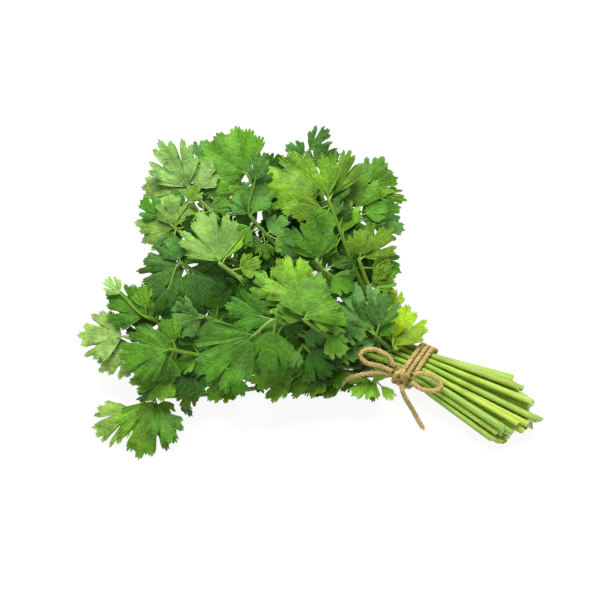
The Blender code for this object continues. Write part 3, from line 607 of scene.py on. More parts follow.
def outline(form, length, draw):
    """Edge of a blade 1 long, as (angle from the midrib, radius from the foot), left to right."""
    spread, side, slit, tooth, _, _ = FORMS[form]
    if length < TINY_LEAFLET:
        marks = ((0.20, 0.04), (0.33, slit), (0.47, 0), (0.62, tooth), (0.78, 0.06))
    elif length < LARGE_LEAFLET:
        marks = ((0.13, tooth), (0.21, 0.05), (0.33, slit), (0.50, 0), (0.63, tooth), (0.78, 0.06))
    else:
        marks = ((0.10, tooth), (0.20, 0.05), (0.32, slit), (0.45, 0), (0.54, tooth), (0.65, 0),
                 (0.76, tooth), (0.87, 0.05))
    half = [(1.0, FOOT_REACH * side)]
    for share, depth in reversed(marks):
        envelope = 1 - (1 - side) * (share / LOBE_SHARE) ** LOBE_POWER
        half.append((share, envelope * (1 - depth)))
    shape = half + [(0.0, 1.0)] + [(-share, reach) for share, reach in reversed(half)]
    return [(math.radians(spread * share), reach * draw.uniform(*UNEVEN)) for share, reach in shape]


def relief(angle, radius, form, bend):
    """Height of a blade 1 long above its plane: folded, arched, ridged along the lobes, waved."""
    spread, _, _, _, fold, arch = FORMS[form]
    across = radius * math.sin(angle)
    along = radius * math.cos(angle)
    ridge = math.cos(2 * math.pi * math.degrees(angle) / (LOBE_SHARE * spread))
    height = fold * across * across / (FOLD_SOFTNESS + abs(across)) - arch * along * along
    height += RIDGE * ridge * radius
    return height + bend[0] * radius**2 * math.sin(2 * angle) + bend[1] * radius**3 * math.cos(3 * angle)


def blade_mesh(leaf, thickness, growth=1.0, stalk=True):
    """Points and triangles of one plain leaflet, with its stalk or without."""
    rim = leaf["rim"]
    spread = math.radians(FORMS[leaf["form"]][0])
    scale = leaf["length"] * growth
    along, side, face = leaf["along"], leaf["side"], leaf["face"]
    half = STALK_WIDTH / 2
    flat = [(leaf[place] + side * s * half) for place in ("root" if stalk else "foot", "foot")
            for s in (-1, 1)]
    inner = INNER_REACH * (1 - FORMS[leaf["form"]][2])
    large = len(rim) == LARGE_RIM
    middle = [(0.0, inner), (INNER_SIDE * spread, INNER_REACH * inner),
              (-INNER_SIDE * spread, INNER_REACH * inner)]
    for angle, radius in rim + (middle if large else []):
        place = leaf["foot"] - side * math.sin(angle) * radius * scale
        place += along * math.cos(angle) * radius * scale
        flat.append(place + face * relief(angle, radius, leaf["form"], leaf["bend"]) * leaf["length"])
    count = len(rim)
    edge = list(range(4, 4 + count))
    tip = edge[count // 2]
    slit_left, slit_right = tip - 3, tip + 3
    centre, left, right = (4 + count, 5 + count, 6 + count) if large else (2, 2, 3)
    faces = [(0, 1, 3), (0, 3, 2)] if stalk else []
    for a, b in zip(edge, edge[1:]):
        if large and slit_left <= a < slit_right:
            hub = centre
        else:
            hub = left if b <= tip else right
        faces.append((hub, b, a))
    if large:
        faces += [(2, left, edge[0]), (2, centre, left), (left, centre, slit_left), (2, 3, centre),
                  (3, right, centre), (centre, right, slit_right), (3, edge[-1], right)]
    else:
        faces.append((2, 3, tip))
    loop = ([0] if stalk else []) + [2] + edge + [3] + ([1] if stalk else [])
    total = len(flat)
    lift = [face * thickness / 2] * total
    if stalk:
        lift[0] = lift[1] = face * thickness * STALK_THICKNESS
    points = [p + l for p, l in zip(flat, lift)] + [p - l for p, l in zip(flat, lift)]
    under = [(a + total, c + total, b + total) for a, b, c in faces]
    walls = []
    for a, b in zip(loop, loop[1:] + loop[:1]):
        walls += [(a, b, b + total), (a, b + total, a + total)]
    return points, faces + under + walls


def point_down_stem(route, back):
    """Point of the route the given distance before its fork."""
    left = back
    for here, before in zip(reversed(route), reversed(route[:-1])):
        step = (here - before).length
        if left <= step:
            return here.lerp(before, left / step)
        left -= step
    return route[0].copy()


def lay_leaflet(route, spec, wander, draw):
    """Frame and edge of one leaflet; wander, from 0 to 1, lets it stray from its spec."""
    turn, length, form, stalk, back = spec
    root = point_down_stem(route, max(back, 1.0))
    flat = 1 - smoothstep((root.z - FLAT_HEIGHTS[0]) / FLAT_HEIGHTS[1])
    turn = math.radians(turn + draw.uniform(-1, 1) * (TURN_STRAY[0] + TURN_STRAY[1] * wander))
    length *= 1 - SHRINK_STRAY * wander * draw.random()
    stalk *= 1 + STALK_STRAY[0] * wander * draw.random()
    stalk += STALK_STRAY[1] * wander * draw.random()
    tilt = TILT_STRAY[0] + TILT_STRAY[1] * wander
    face = OUTWARD.lerp(Vector((0, 0, 1)), flat)
    face += SIDEWAYS * draw.uniform(-tilt, tilt) + UPWARD * draw.uniform(-tilt, tilt)
    face.normalize()
    aim = SIDEWAYS * math.cos(turn) + UPWARD * math.sin(turn)
    along = aim - OUTWARD * (aim.dot(face) / OUTWARD.dot(face))
    along.normalize()
    leaf = {"form": form, "length": length, "root": root,
            "bend": (draw.uniform(-BEND, BEND), draw.uniform(-BEND, BEND))}
    leaf["rim"] = outline(form, length, draw)
    for _ in range(SETTLE_ROUNDS):
        leaf.update(foot=root + along * (stalk + 1.0), along=along, side=along.cross(face), face=face)
        low = min(blade_mesh(leaf, BLADE_THICKNESS)[0], key=lambda p: p.z)
        if low.z > SETTLE_HEIGHT or abs(low.z - FLOOR_CLEARANCE) < 0.02:
            break
        arm = max(LEAST_ARM, (low - root).length)
        axis = Vector((low.x - root.x, low.y - root.y, 0)).cross(Vector((0, 0, 1)))
        turn_up = Matrix.Rotation((FLOOR_CLEARANCE - low.z) / arm, 3, axis)
        along = turn_up @ along
        face = turn_up @ face
    return leaf, low.z >= FLOOR_CLEARANCE - 0.03


def make_body(points, faces, owner):
    """A solid that later leaflets keep clear of: its box and its tree."""
    low = [min(p[i] for p in points) for i in range(3)]
    high = [max(p[i] for p in points) for i in range(3)]
    return {"tree": BVHTree.FromPolygons(points, faces), "low": low, "high": high, "owner": owner}


def touches(body, others, keep_owner):
    """Whether the body cuts any other that doesn't belong to keep_owner."""
    for other in others:
        if other["owner"] == keep_owner:
            continue
        if any(body["low"][i] > other["high"][i] or body["high"][i] < other["low"][i] for i in range(3)):
            continue
        if body["tree"].overlap(other["tree"]):
            return True
    return False


def fit_leaflet(stem, route, spec, bodies, draw):
    """The leaflet nearest to its spec that is clear of the other stems, or None."""
    for attempt in range(FIT_TRIES):
        leaf, above = lay_leaflet(route, spec, attempt / FIT_TRIES, draw)
        if not above or touches(make_body(*blade_mesh(leaf, GUARD_THICKNESS, GUARD_GROWTH), stem),
                                bodies, stem):
            continue
        blade = make_body(*blade_mesh(leaf, BLADE_THICKNESS, stalk=False), stem)
        siblings = [body for body in bodies if body["owner"] == stem and body.get("blade")]
        if attempt < FIT_TRIES * STRICT_SHARE and touches(blade, siblings, None):
            continue
        blade["blade"] = True
        bodies += [blade, make_body(*blade_mesh(leaf, BLADE_THICKNESS), stem)]
        return leaf
    return None


def leaflet_specs():
    """Every leaflet as (stem, leaflet number, spec): the listed ones, then the filling ones."""
    specs = [(stem, number, spec) for stem, (_, _, _, leaflets) in enumerate(STEMS)
             for number, spec in enumerate(leaflets)]
    for stem, (_, fork, _, leaflets) in enumerate(STEMS):
        if math.hypot(fork[0], fork[1]) >= FILL_REACH:
            draw = random.Random(SEED * 1000 + stem)
            turn = draw.uniform(0, 360)
            spec = (turn, draw.uniform(*FILL_LENGTHS), "lobed", FILL_STALK, FILL_BACK)
            specs.append((stem, len(leaflets), spec))
    return specs


def lay_leaflets(routes, bodies):
    """Lay every leaflet in turn, each clear of what is already there."""
    leaves = [[] for _ in STEMS]
    for stem, number, spec in leaflet_specs():
        draw = random.Random(SEED * 100000 + stem * 100 + number)
        leaf = fit_leaflet(stem, routes[stem], spec, bodies, draw)
        if leaf:
            leaves[stem].append(leaf)
    return leaves


def wrap_route(slots, height):
    """Turns of twine close round the stems: the corners of a belt drawn tight round them."""
    offset = STEM_RADIUS_TIE + TWINE_GAP + TWINE_RADIUS
    turn = 2 * math.pi / WRAP_STEPS
    points = []
    for k in range(WRAP_TURNS * WRAP_STEPS + 1):
        before = WRAP_START + turn * (k - 0.5)
        after = WRAP_START + turn * (k + 0.5)
        reach = [offset + max(y * math.cos(a) + z * math.sin(a) for y, z in slots)
                 for a in (before, after)]
        y = (reach[0] * math.sin(after) - reach[1] * math.sin(before)) / math.sin(turn)
        z = (reach[1] * math.cos(before) - reach[0] * math.cos(after)) / math.sin(turn)
        slant = WRAP_SLANT * math.cos(WRAP_START + turn * k)
        x = TIE[0] + (k / WRAP_STEPS - WRAP_TURNS / 2) * WRAP_PITCH + slant
        points.append(Vector((x, TIE[1] + y, max(height + z, TWINE_RADIUS))))
    return points


def ring_route(radius, axis, shift, steps=9):
    """One ring of the knot's twine: its radius, its axis and its shift from the knot's middle."""
    turn = Vector((0, 0, 1)).rotation_difference(Vector(axis)).to_matrix()
    centre = Vector(KNOT) + Vector(shift)
    angles = [2 * math.pi * k / steps for k in range(steps)]
    return [centre + turn @ Vector((radius * math.cos(a), radius * math.sin(a), 0)) for a in angles]


def curve_points(marks, step):
    """Points about a step apart on the smooth curve through all but the end marks, as (number of
    the mark before it, share of the way to the next, point).
    """
    for k, (before, start, stop, after) in enumerate(zip(marks, marks[1:], marks[2:], marks[3:])):
        count = max(1, round((stop - start).length / step))
        for t in (part / count for part in range(count)):
            yield k, t, 0.5 * (2 * start + (stop - before) * t
                               + (2 * before - 5 * start + 4 * stop - after) * t**2
                               + (3 * start - before - 3 * stop + after) * t**3)


def smooth_route(marks, step):
    """Points about a step apart on the smooth curve through all the marks."""
    marks = [Vector(m) for m in marks]
    ends = [2 * marks[0] - marks[1]] + marks + [2 * marks[-1] - marks[-2]]
    return [point for _, _, point in curve_points(ends, step)] + [marks[-1]]


def stem_rings(route):
    """Numbers of the route's points that the plain stem is drawn through."""
    neck = CUT_POINTS + 1
    last = PATH_POINTS - 1
    reach = (route[last] - route[neck]).length
    count = min(STEM_RINGS, max(3, round(reach / RING_SPACING)))
    shares = [(k / count) ** RING_CROWDING for k in range(count + 1)]
    return [0, neck - 1] + [round(neck + (last - neck) * share) for share in shares]


def row_point(point):
    """A point of the layout as a point of the model, in metres."""
    return Vector(((point[0] - ORIGIN[0]) * MM, (point[1] - ORIGIN[1]) * MM, point[2] * MM))


def plain_bar(points, resolution, owner=-1, radii=None, closed=False):
    """The plain round bar that leaflets keep clear of; twine has no owner or radii of its own."""
    curve = bpy.data.curves.new("plain_bar", "CURVE")
    curve.dimensions = "3D"
    curve.bevel_depth = MM
    curve.bevel_resolution = resolution
    curve.use_fill_caps = True
    spline = curve.splines.new("POLY")
    spline.points.add(len(points) - 1)
    spline.use_cyclic_u = closed
    for point, place, radius in zip(spline.points, points, radii or [TWINE_RADIUS] * len(points)):
        point.co = (*(place * MM), 1.0)
        point.radius = radius
    source = bpy.data.objects.new("plain_bar", curve)
    bpy.context.collection.objects.link(source)
    mesh = bpy.data.meshes.new_from_object(source.evaluated_get(bpy.context.evaluated_depsgraph_get()))
    bpy.data.objects.remove(source)
    bpy.data.curves.remove(curve)
    work = bmesh.new()
    work.from_mesh(mesh)
    bmesh.ops.remove_doubles(work, verts=work.verts, dist=1e-7)
    bmesh.ops.triangulate(work, faces=work.faces)
    work.verts.index_update()
    corners = [v.co / MM for v in work.verts]
    faces = [tuple(v.index for v in f.verts) for f in work.faces]
    work.free()
    bpy.data.meshes.remove(mesh)
    return make_body(corners, faces, owner)


def seen_place(point):
    """How far a point lies across, up and out from the side that the leaves face."""
    return point.dot(SIDEWAYS), point.dot(UPWARD), point.dot(OUTWARD)


def seen_body(across, up, bodies):
    """The first body met at that place from the side that the leaves face, and how far out it is."""
    start = SIDEWAYS * across + UPWARD * up + OUTWARD * SEEN_FROM
    reach = start.z / OUTWARD.z
    found = {}
    for body in bodies:
        low, high = body["seen"]
        if low[0] < across < high[0] and low[1] < up < high[1]:
            distance = body["tree"].ray_cast(start, -OUTWARD, reach)[3]
            if distance is not None:
                reach, found = distance, body
    return found, SEEN_FROM - reach


def is_enclosed(across, up, bodies):
    """Whether other pieces lie nearly all round that place."""
    around = [seen_body(across + GAP_REACH * math.cos(k * math.pi / 4),
                        up + GAP_REACH * math.sin(k * math.pi / 4), bodies)[0] for k in range(8)]
    return sum(map(bool, around)) >= GAP_SIDES


def with_seen_box(body):
    """The body with the span that it fills across and up the side that the leaves face."""
    corners = itertools.product(*zip(body["low"], body["high"]))
    spans = list(zip(*(seen_place(Vector(corner)) for corner in corners)))
    body["seen"] = [[min(span) for span in spans], [max(span) for span in spans]]
    return body


def stems_near(across, up, routes, reach):
    """Places on the stems near there, nearest first, as (distance, stem, way down from the fork,
    how far out).
    """
    found = []
    for stem, route in enumerate(routes):
        back = 0.0
        places = []
        for after, point in zip([route[-1]] + route[::-1], route[::-1]):
            back += (after - point).length
            if point.x > TIE[0] - NECK_CLEAR:
                break
            x, y, out = seen_place(point)
            places.append((math.hypot(x - across, y - up), stem, back, out))
        if places and min(places)[0] < reach:
            found.append(min(places))
    return sorted(found)


def add_extra(stem, spec, tries, routes, bodies, extras, tone, draw, behind=True):
    """Lay one small leaflet on the stem, clear of the other blades; whether there was room."""
    for attempt in range(tries):
        leaf, above = lay_leaflet(routes[stem], spec, EXTRA_WANDER + attempt / tries, draw)
        if not above:
            continue
        blade = make_body(*blade_mesh(leaf, BLADE_THICKNESS, stalk=False), stem)
        if touches(blade, [body for body in bodies if body.get("blade")], None):
            continue
        if attempt < tries * STRICT_SHARE and touches(blade, bodies, stem):
            continue
        low, high = with_seen_box(blade)["seen"]
        if low[1] < LOWEST_SEEN and high[0] > LOWEST_FROM:
            continue
        centre = leaf["foot"] + leaf["along"] * leaf["length"] * EXTRA_MIDDLE
        across, up, out = seen_place(centre)
        front, reach = seen_body(across, up, bodies)
        if behind and front.get("blade") and not front.get("extra") and out > reach:
            continue
        if any(math.dist((across, up), gap[:2]) < gap[2] for gap in OPEN_GAPS):
            continue
        blade["blade"] = blade["extra"] = True
        bodies.append(blade)
        leaf["tone"] = tone
        extras[stem].append(leaf)
        return True
    return False


def fill_gaps(routes, bodies, extras):
    """Small leaflets wherever the inside of the bunch would show the ground or bare stems."""
    draw = random.Random(SEED * 31)
    places = [(x + draw.uniform(0, GAP_STEP), y + draw.uniform(0, GAP_STEP))
              for y in range(GAP_BOX[1], GAP_BOX[3], GAP_STEP)
              for x in range(GAP_BOX[0], GAP_BOX[2], GAP_STEP)]
    draw.shuffle(places)
    for across, up in places:
        seen, _ = seen_body(across, up, bodies)
        if seen.get("blade") or (seen and draw.random() > BARE_STEM_SHARE):
            continue
        if not is_enclosed(across, up, bodies):
            continue
        for _, stem, back, _ in stems_near(across, up, routes, STEM_REACH)[:GAP_STEMS]:
            x, y, _ = seen_place(point_down_stem(routes[stem], back))
            away = math.hypot(across - x, up - y)
            length = draw.uniform(*EXTRA_LENGTHS)
            turn = math.degrees(math.atan2(up - y, across - x)) if away > 2 else draw.uniform(0, 360)
            stalk = max(1.0, away - length * GAP_LEAFLET_MIDDLE)
            spec = (turn, length, draw.choice(EXTRA_FORMS), stalk, back)
            if add_extra(stem, spec, GAP_TRIES, routes, bodies, extras, draw.choice(EXTRA_TONES), draw):
                break


def lay_extras(routes, bodies):
    """The small leaflets: those at the neck, those in the gaps, then some down each stem."""
    extras = [[] for _ in STEMS]
    for body in bodies:
        with_seen_box(body)
    draw = random.Random(SEED * 900000)
    for across, up, turn, length, form, tone in NECK_LEAFLETS:
        near = sorted(stems_near(across, up, routes, NECK_REACH), key=lambda place: -place[3])
        for _, stem, back, _ in near:
            spec = (turn, length, form, 1.0, back)
            if add_extra(stem, spec, NECK_TRIES, routes, bodies, extras, tone, draw, False):
                break
    fill_gaps(routes, bodies, extras)
    for stem, (_, fork, _, _) in enumerate(STEMS):
        for back in EXTRA_BACKS:
            x, y, _ = seen_place(point_down_stem(routes[stem], back))
            if math.hypot(fork[0], fork[1]) - back > EXTRA_REACH and is_enclosed(x, y, bodies):
                spec = (draw.uniform(0, 360), draw.uniform(*EXTRA_LENGTHS), draw.choice(EXTRA_FORMS),
                        EXTRA_STALK, back + draw.uniform(-EXTRA_SHIFT, EXTRA_SHIFT))
                tone = draw.choice(EXTRA_TONES)
                add_extra(stem, spec, EXTRA_TRIES, routes, bodies, extras, tone, draw)
    return extras


@functools.lru_cache(maxsize=1)
def layout():
    """Routes of the stems and every leaflet, as the plain model has them, and the small extras."""
    slots = bundle_slots(len(STEMS))
    height = tie_height(slots)
    places = assign_slots(slots)
    draws = [random.Random(SEED * 10 + stem) for stem in range(len(STEMS))]
    radii = [stem_radii(draw) for draw in draws]
    spots = cut_places(places, min(up for _, up in slots), radii)
    routes = [stem_route(fork, place, height, spot, draw)
              for (_, fork, _, _), place, spot, draw in zip(STEMS, places, spots, draws)]
    posts = [point for marks in BOW.values() for point in smooth_route(marks, POST_STEP)]
    routes = relax_routes(routes, radii, posts)
    wrap = wrap_route(slots, height)
    bodies = [plain_bar(wrap, 1)]
    bodies += [plain_bar(ring_route(*ring), 1, closed=True) for ring in KNOT_RINGS]
    bodies += [plain_bar(smooth_route(marks, BOW_STEP), 2) for marks in BOW.values()]
    for stem, route in enumerate(routes):
        picks = stem_rings(route)
        radius = [radii[stem][k] for k in picks]
        bodies.append(plain_bar([route[k] for k in picks], 1, stem, radius))
    leaves = lay_leaflets(routes, bodies)
    extras = lay_extras(routes, bodies)
    return {"routes": routes, "radii": radii, "wrap": wrap, "leaves": leaves, "extras": extras}


def carried_frames(points):
    """Direction and two sideways axes at each point of a route, carried along without twist."""
    directions = [(after - before).normalized()
                  for before, after in zip(points[:1] + points[:-1], points[1:] + points[-1:])]
    first = directions[0].orthogonal().normalized()
    frames = [(directions[0], first, directions[0].cross(first))]
    for here, there in zip(directions, directions[1:]):
        normal = here.rotation_difference(there) @ frames[-1][1]
        normal = (normal - there * normal.dot(there)).normalized()
        frames.append((there, normal, there.cross(normal)))
    return frames


class Draft:
    """A piece while it is made: its bmesh, and the tint, grain and number that its points carry."""

    def __init__(self):
        self.work = bmesh.new()
        self.tint = self.work.verts.layers.float_color.new("tint")
        self.grain = self.work.verts.layers.float_vector.new("grain")
        self.number = self.work.verts.layers.int.new("number")


def add_object(name, data):
    """A new object in the scene."""
    made = bpy.data.objects.new(name, data)
    bpy.context.scene.collection.objects.link(made)
    return made


def finish_piece(draft, name, materials):
    """Turn the draft into the piece's object, smooth but for its sharp edges."""
    draft.work.verts.layers.int.remove(draft.number)
    for edge in draft.work.edges:
        edge.smooth = len(edge.link_faces) == 2 and edge.calc_face_angle(0.0) < SHARP_ANGLE
    for face in draft.work.faces:
        face.smooth = True
    mesh = bpy.data.meshes.new(name)
    draft.work.to_mesh(mesh)
    draft.work.free()
    for material in materials:
        mesh.materials.append(material)
    old = bpy.data.objects.get(name)
    if old:
        bpy.data.objects.remove(old)
    piece = add_object(name, mesh)
    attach(piece, "root")
    return piece


def add_bar(draft, stations, sides, section=None, material=0):
    """A capped bar through the stations (centre, axes, radius, tint, grain); its section, where it
    isn't round, gives the share of the radius and the depth of a groove.
    """
    work = draft.work
    ring = bmesh.ops.create_circle(work, cap_ends=True, segments=sides, radius=1.0)["verts"]
    faces = list(ring[0].link_faces)
    edges = list(faces[0].edges)
    for spoke, vertex in enumerate(ring):
        vertex[draft.number] = spoke
    for number, (centre, (_, normal, across), radius, tint, grain) in enumerate(stations):
        if number:
            made = bmesh.ops.extrude_edge_only(work, edges=edges)["geom"]
            ring = [item for item in made if isinstance(item, bmesh.types.BMVert)]
            edges = [item for item in made if isinstance(item, bmesh.types.BMEdge)
                     and all(vertex in ring for vertex in item.verts)]
            faces += [item for item in made if isinstance(item, bmesh.types.BMFace)]
        for vertex in ring:
            turn = 2 * math.pi * vertex[draft.number] / sides
            reach, depth = section(number, turn) if section else (1.0, 0.0)
            out = normal * math.cos(turn) + across * math.sin(turn)
            vertex.co = row_point(centre + out * radius * reach)
            vertex[draft.tint] = (*tint, 1.0)
            vertex[draft.grain] = (grain, math.cos(turn), depth)
    faces += bmesh.ops.edgeloop_fill(work, edges=edges)["faces"]
    bmesh.ops.recalc_face_normals(work, faces=faces)
    for face in faces:
        face.material_index = material


def ribbed_section(number, turn):
    """A stem with low ribs."""
    return 1.0 + STEM_RIB * math.cos(STEM_RIBS * turn), 0.0


def blend(first, second, share):
    """A colour between two colours."""
    return tuple(a + (b - a) * share for a, b in zip(first, second))


def shaded(colour, draw, spread):
    """The colour made a little lighter or darker, and warmer or cooler."""
    light = 1 + draw.uniform(-spread, spread)
    warm = draw.uniform(-0.5, 0.5) * spread
    return (colour[0] * light * (1 + 1.5 * warm), colour[1] * light, colour[2] * light * (1 - warm))


def is_notch(index, count):
    """Whether the edge's mark of that number lies between two teeth."""
    nearest = min(index, count - 1 - index)
    return nearest % 2 == 0 and nearest != count // 2


def fine_edge(leaf, steps, draw):
    """The leaflet's edge with rounded lobes and small teeth between its marks."""
    rim = list(leaf["rim"])
    count = len(rim)
    edge = []
    for k in range(1, count - 1):
        angle, radius = rim[k]
        if is_notch(k, count) and radius > SLIT_SHARE * rim[k - 1][1]:
            rim[k] = (angle, radius + NOTCH_FILL * (min(rim[k - 1][1], rim[k + 1][1]) - radius))
    for k, (start, stop) in enumerate(zip(rim, rim[1:])):
        deep = min(start[1], stop[1]) < SLIT_SHARE * max(start[1], stop[1])
        falls = FALLS[steps][deep] + (1.0,)
        for step in range(steps):
            share = step / steps
            angle, radius = (a + (b - a) * share for a, b in zip(start, stop))
            if is_notch(k, count):
                radius = stop[1] + (start[1] - stop[1]) * falls[steps - step]
            elif is_notch(k + 1, count):
                radius = start[1] + (stop[1] - start[1]) * falls[step]
            else:
                radius *= 1 - SIDE_HOLLOW * math.sin(math.pi * share)
            tooth = TOOTH_DEPTH * TEETH[steps][step] * draw.uniform(*TOOTH_SPREAD) / (0.5 + 0.5 * radius)
            edge.append((angle + draw.uniform(-TOOTH_SHIFT, TOOTH_SHIFT), radius - tooth))
    return edge + [rim[-1]]


def add_blade(draft, leaf, tint, steps, rings, draw):
    """The upper face of one leaflet: a grid bent into a fan from its foot to its edge."""
    edge = fine_edge(leaf, steps, draw)
    grid = bmesh.ops.create_grid(
        draft.work, x_segments=len(edge) - 1, y_segments=rings, size=1.0)["verts"]
    spread = math.radians(FORMS[leaf["form"]][0])
    length = leaf["length"]
    wave, swell = (draw.uniform(0, 2 * math.pi) for _ in range(2))
    ripple, curl, sag = (draw.uniform(*span) for span in (RIPPLES, CURLS, SAGS))
    for index, vertex in enumerate(grid):
        ring, column = divmod(index, len(edge))
        angle, rim = edge[column]
        share = ring / rings
        radius = rim * share
        away = min(abs(angle - main * spread) for main in MAIN_VEINS) * radius * length
        height = relief(angle, radius, leaf["form"], leaf["bend"]) * length
        height += ripple * length * share**3 * math.sin(RIPPLE_TURNS * angle + wave)
        height -= curl * length * share**4
        height += VEIN_CREASE * length * smoothstep(away / CREASE_WIDTH) * smoothstep(share * 3)
        height += sag * length * share * (1 - share) * math.sin(SAG_TURNS * angle + swell)
        place = leaf["foot"] + leaf["face"] * (height + FINE_THICKNESS / 2)
        place += leaf["along"] * math.cos(angle) * radius * length
        place -= leaf["side"] * math.sin(angle) * radius * length
        vertex.co = row_point(place)
        vertex[draft.tint] = (*(c + (EDGE_LIGHT * c - c) * share for c in tint), 1.0)
        vertex[draft.grain] = (away, radius * length, 0.0)
    bmesh.ops.remove_doubles(draft.work, verts=grid[:len(edge)], dist=1e-7)


def thicken(draft, thickness):
    """Give the blades their underside, mark it, and keep both faces off the floor."""
    work = draft.work
    work.normal_update()
    places = [(vertex.co.copy(), vertex.co - vertex.normal * thickness) for vertex in work.verts]
    for upper, lower in places:
        lower.z = max(lower.z, FLOOR_CLEARANCE * MM)
        upper.z = max(upper.z, lower.z + thickness * 0.5)
    for number, vertex in enumerate(work.verts):
        vertex[draft.number] = number
    bmesh.ops.solidify(work, geom=work.faces[:], thickness=thickness)
    for number, vertex in enumerate(work.verts):
        under = number >= len(places)
        vertex.co = places[vertex[draft.number]][under]
        if under:
            away, reach, _ = vertex[draft.grain]
            vertex[draft.grain] = (away, reach, 1.0)


def add_stalk(draft, leaf, route, tint):
    """The leaflet's own stalk, curving out of the stem into the blade's foot."""
    root, foot, along = leaf["root"], leaf["foot"], leaf["along"]
    reach = (foot - root).length
    nearest = min(range(1, len(route)), key=lambda k: (route[k] - root).length)
    leaving = (route[nearest] - route[nearest - 1]).normalized()
    steps = max(STALK_STEPS[0], min(STALK_STEPS[1], round(reach / STALK_STEP)))
    start, stop = leaving * reach * STALK_PULL, along * reach * STALK_PULL
    points = [bent_line(root, start, foot, stop, k / steps) for k in range(steps + 1)]
    points.append(foot + along * min(STALK_UNDER[0], leaf["length"] * STALK_UNDER[1]))
    thick = STALK_RADIUS[0] + STALK_RADIUS[1] * leaf["length"]
    wide, slope, tip = STALK_TAPER
    radii = [thick * (wide - slope * k / steps) for k in range(steps + 1)] + [thick * tip]
    stations = [(point, axes, radius, tint, STALK_STEP * k)
                for k, (point, axes, radius) in enumerate(zip(points, carried_frames(points), radii))]
    add_bar(draft, stations, STALK_SIDES, material=1)


def add_stem(draft, route, radii, tint, colours, draw):
    """One stem from its slanted cut, with its pith, to its fork."""
    points, sizes = [], []
    for k, t, point in curve_points(route[:1] + route + route[-1:], STEM_STEP):
        points.append(point)
        sizes.append(radii[k] + (radii[k + 1] - radii[k]) * t)
    points.append(route[-1])
    sizes.append(radii[-1] * FORK_SIZE)
    frames = carried_frames(points)
    light = shaded(tone_of(colours, "cut_stem"), draw, CUT_SHADE)
    body = shaded(tone_of(colours, "stem"), draw, STEM_SHADE)
    direction, normal, across = frames[0]
    slant = (draw.uniform(-CUT_SLANT, CUT_SLANT), draw.uniform(-CUT_SLANT, CUT_SLANT))
    start = points[0] + direction * math.hypot(*slant) * sizes[0]
    cut = (direction, normal + direction * slant[0], across + direction * slant[1])
    pith = blend(light, PITH, 0.5)
    stations = [(start + direction * inward, cut, sizes[0] * share, pith if share < 1 else light, 0.0)
                for inward, share in CUT_FACE]
    along = 0.0
    for k, (point, axes, size) in enumerate(zip(points, frames, sizes)):
        if along < CUT_REACH:
            colour = blend(light, body, along / CUT_REACH)
        else:
            # Past the tie the stem's colour moves towards its leaves' tone, mostly darker: partly its
            # own green, partly painted shade under the foliage.
            share = LEAF_GREEN_AND_SHADE_SHARE * smoothstep((along - CUT_REACH) / NECK_FADE)
            colour = blend(body, tint, share)
        if k > 1:
            stations.append((point, axes, size, colour, along))
        along += STEM_STEP
    end = points[-1] + frames[-1][0] * TIP[0]
    stations.append((end, frames[-1], sizes[-1] * TIP[1], colour, along))
    add_bar(draft, stations, STEM_SIDES, ribbed_section, 1)


def add_rope(draft, points, sizes, tint, draw):
    """Jute twine along a route: three strands turned together."""
    step, pitch = sizes.rope_step / MM, sizes.twine_pitch / MM
    stations = []
    along = 0.0
    for point, axes in zip(points, carried_frames(points)):
        swell = 1 + ROPE_SWELL * math.sin(along * ROPE_WAVES[0]) * math.sin(along * ROPE_WAVES[1])
        centre = Vector((point.x, point.y, max(point.z, ROPE_LOWEST)))
        shade = shaded(tint, draw, TWINE_SHADE)
        stations.append((centre, axes, TWINE_RADIUS * swell * ROPE_SIZE, shade, along))
        along += step

    def strands(number, turn):
        lay = 2 * math.pi * number * step / pitch
        groove = 1 - abs(math.cos(ROPE_STRANDS / 2 * (turn - lay)))
        return ROPE_CREST - ROPE_GROOVE * groove**2, groove

    add_bar(draft, stations, ROPE_SIDES, strands)


def wrap_line(step):
    """The wrap drawn smooth, through the middles of the belt's sides, in even steps."""
    wrap = layout()["wrap"]
    middles = [(a + b) / 2 for a, b in zip(wrap, wrap[1:])]
    return even_route([wrap[0]] + middles + [wrap[-1]], step)


def even_route(marks, step):
    """Points an even step apart on the smooth curve through the marks."""
    fine = smooth_route(marks, step / 6)
    points = [fine[0]]
    left = step
    for start, stop in zip(fine, fine[1:]):
        reach = (stop - start).length
        while left <= reach:
            points.append(start.lerp(stop, left / reach))
            left += step
        left -= reach
    points.append(fine[-1])
    return points


class Value:
    """A number that varies over a surface; arithmetic on it adds Math nodes."""

    def __init__(self, graph, socket):
        self.graph = graph
        self.socket = socket

    def maths(self, operation, *others):
        inputs = dict(enumerate((self, *others)))
        return self.graph.node("ShaderNodeMath", {"operation": operation}, inputs)

    def __add__(self, other):
        return self.maths("ADD", other)

    def __sub__(self, other):
        return self.maths("SUBTRACT", other)

    def __mul__(self, other):
        return self.maths("MULTIPLY", other)

    def __truediv__(self, other):
        return self.maths("DIVIDE", other)

    def __rsub__(self, other):
        return self * -1.0 + other

    __radd__ = __add__
    __rmul__ = __mul__

    def smooth(self, low, high):
        """0 below low, 1 above high and eased between."""
        settings = {"interpolation_type": "SMOOTHSTEP"}
        inputs = {"Value": self, "From Min": low, "From Max": high}
        return self.graph.node("ShaderNodeMapRange", settings, inputs)


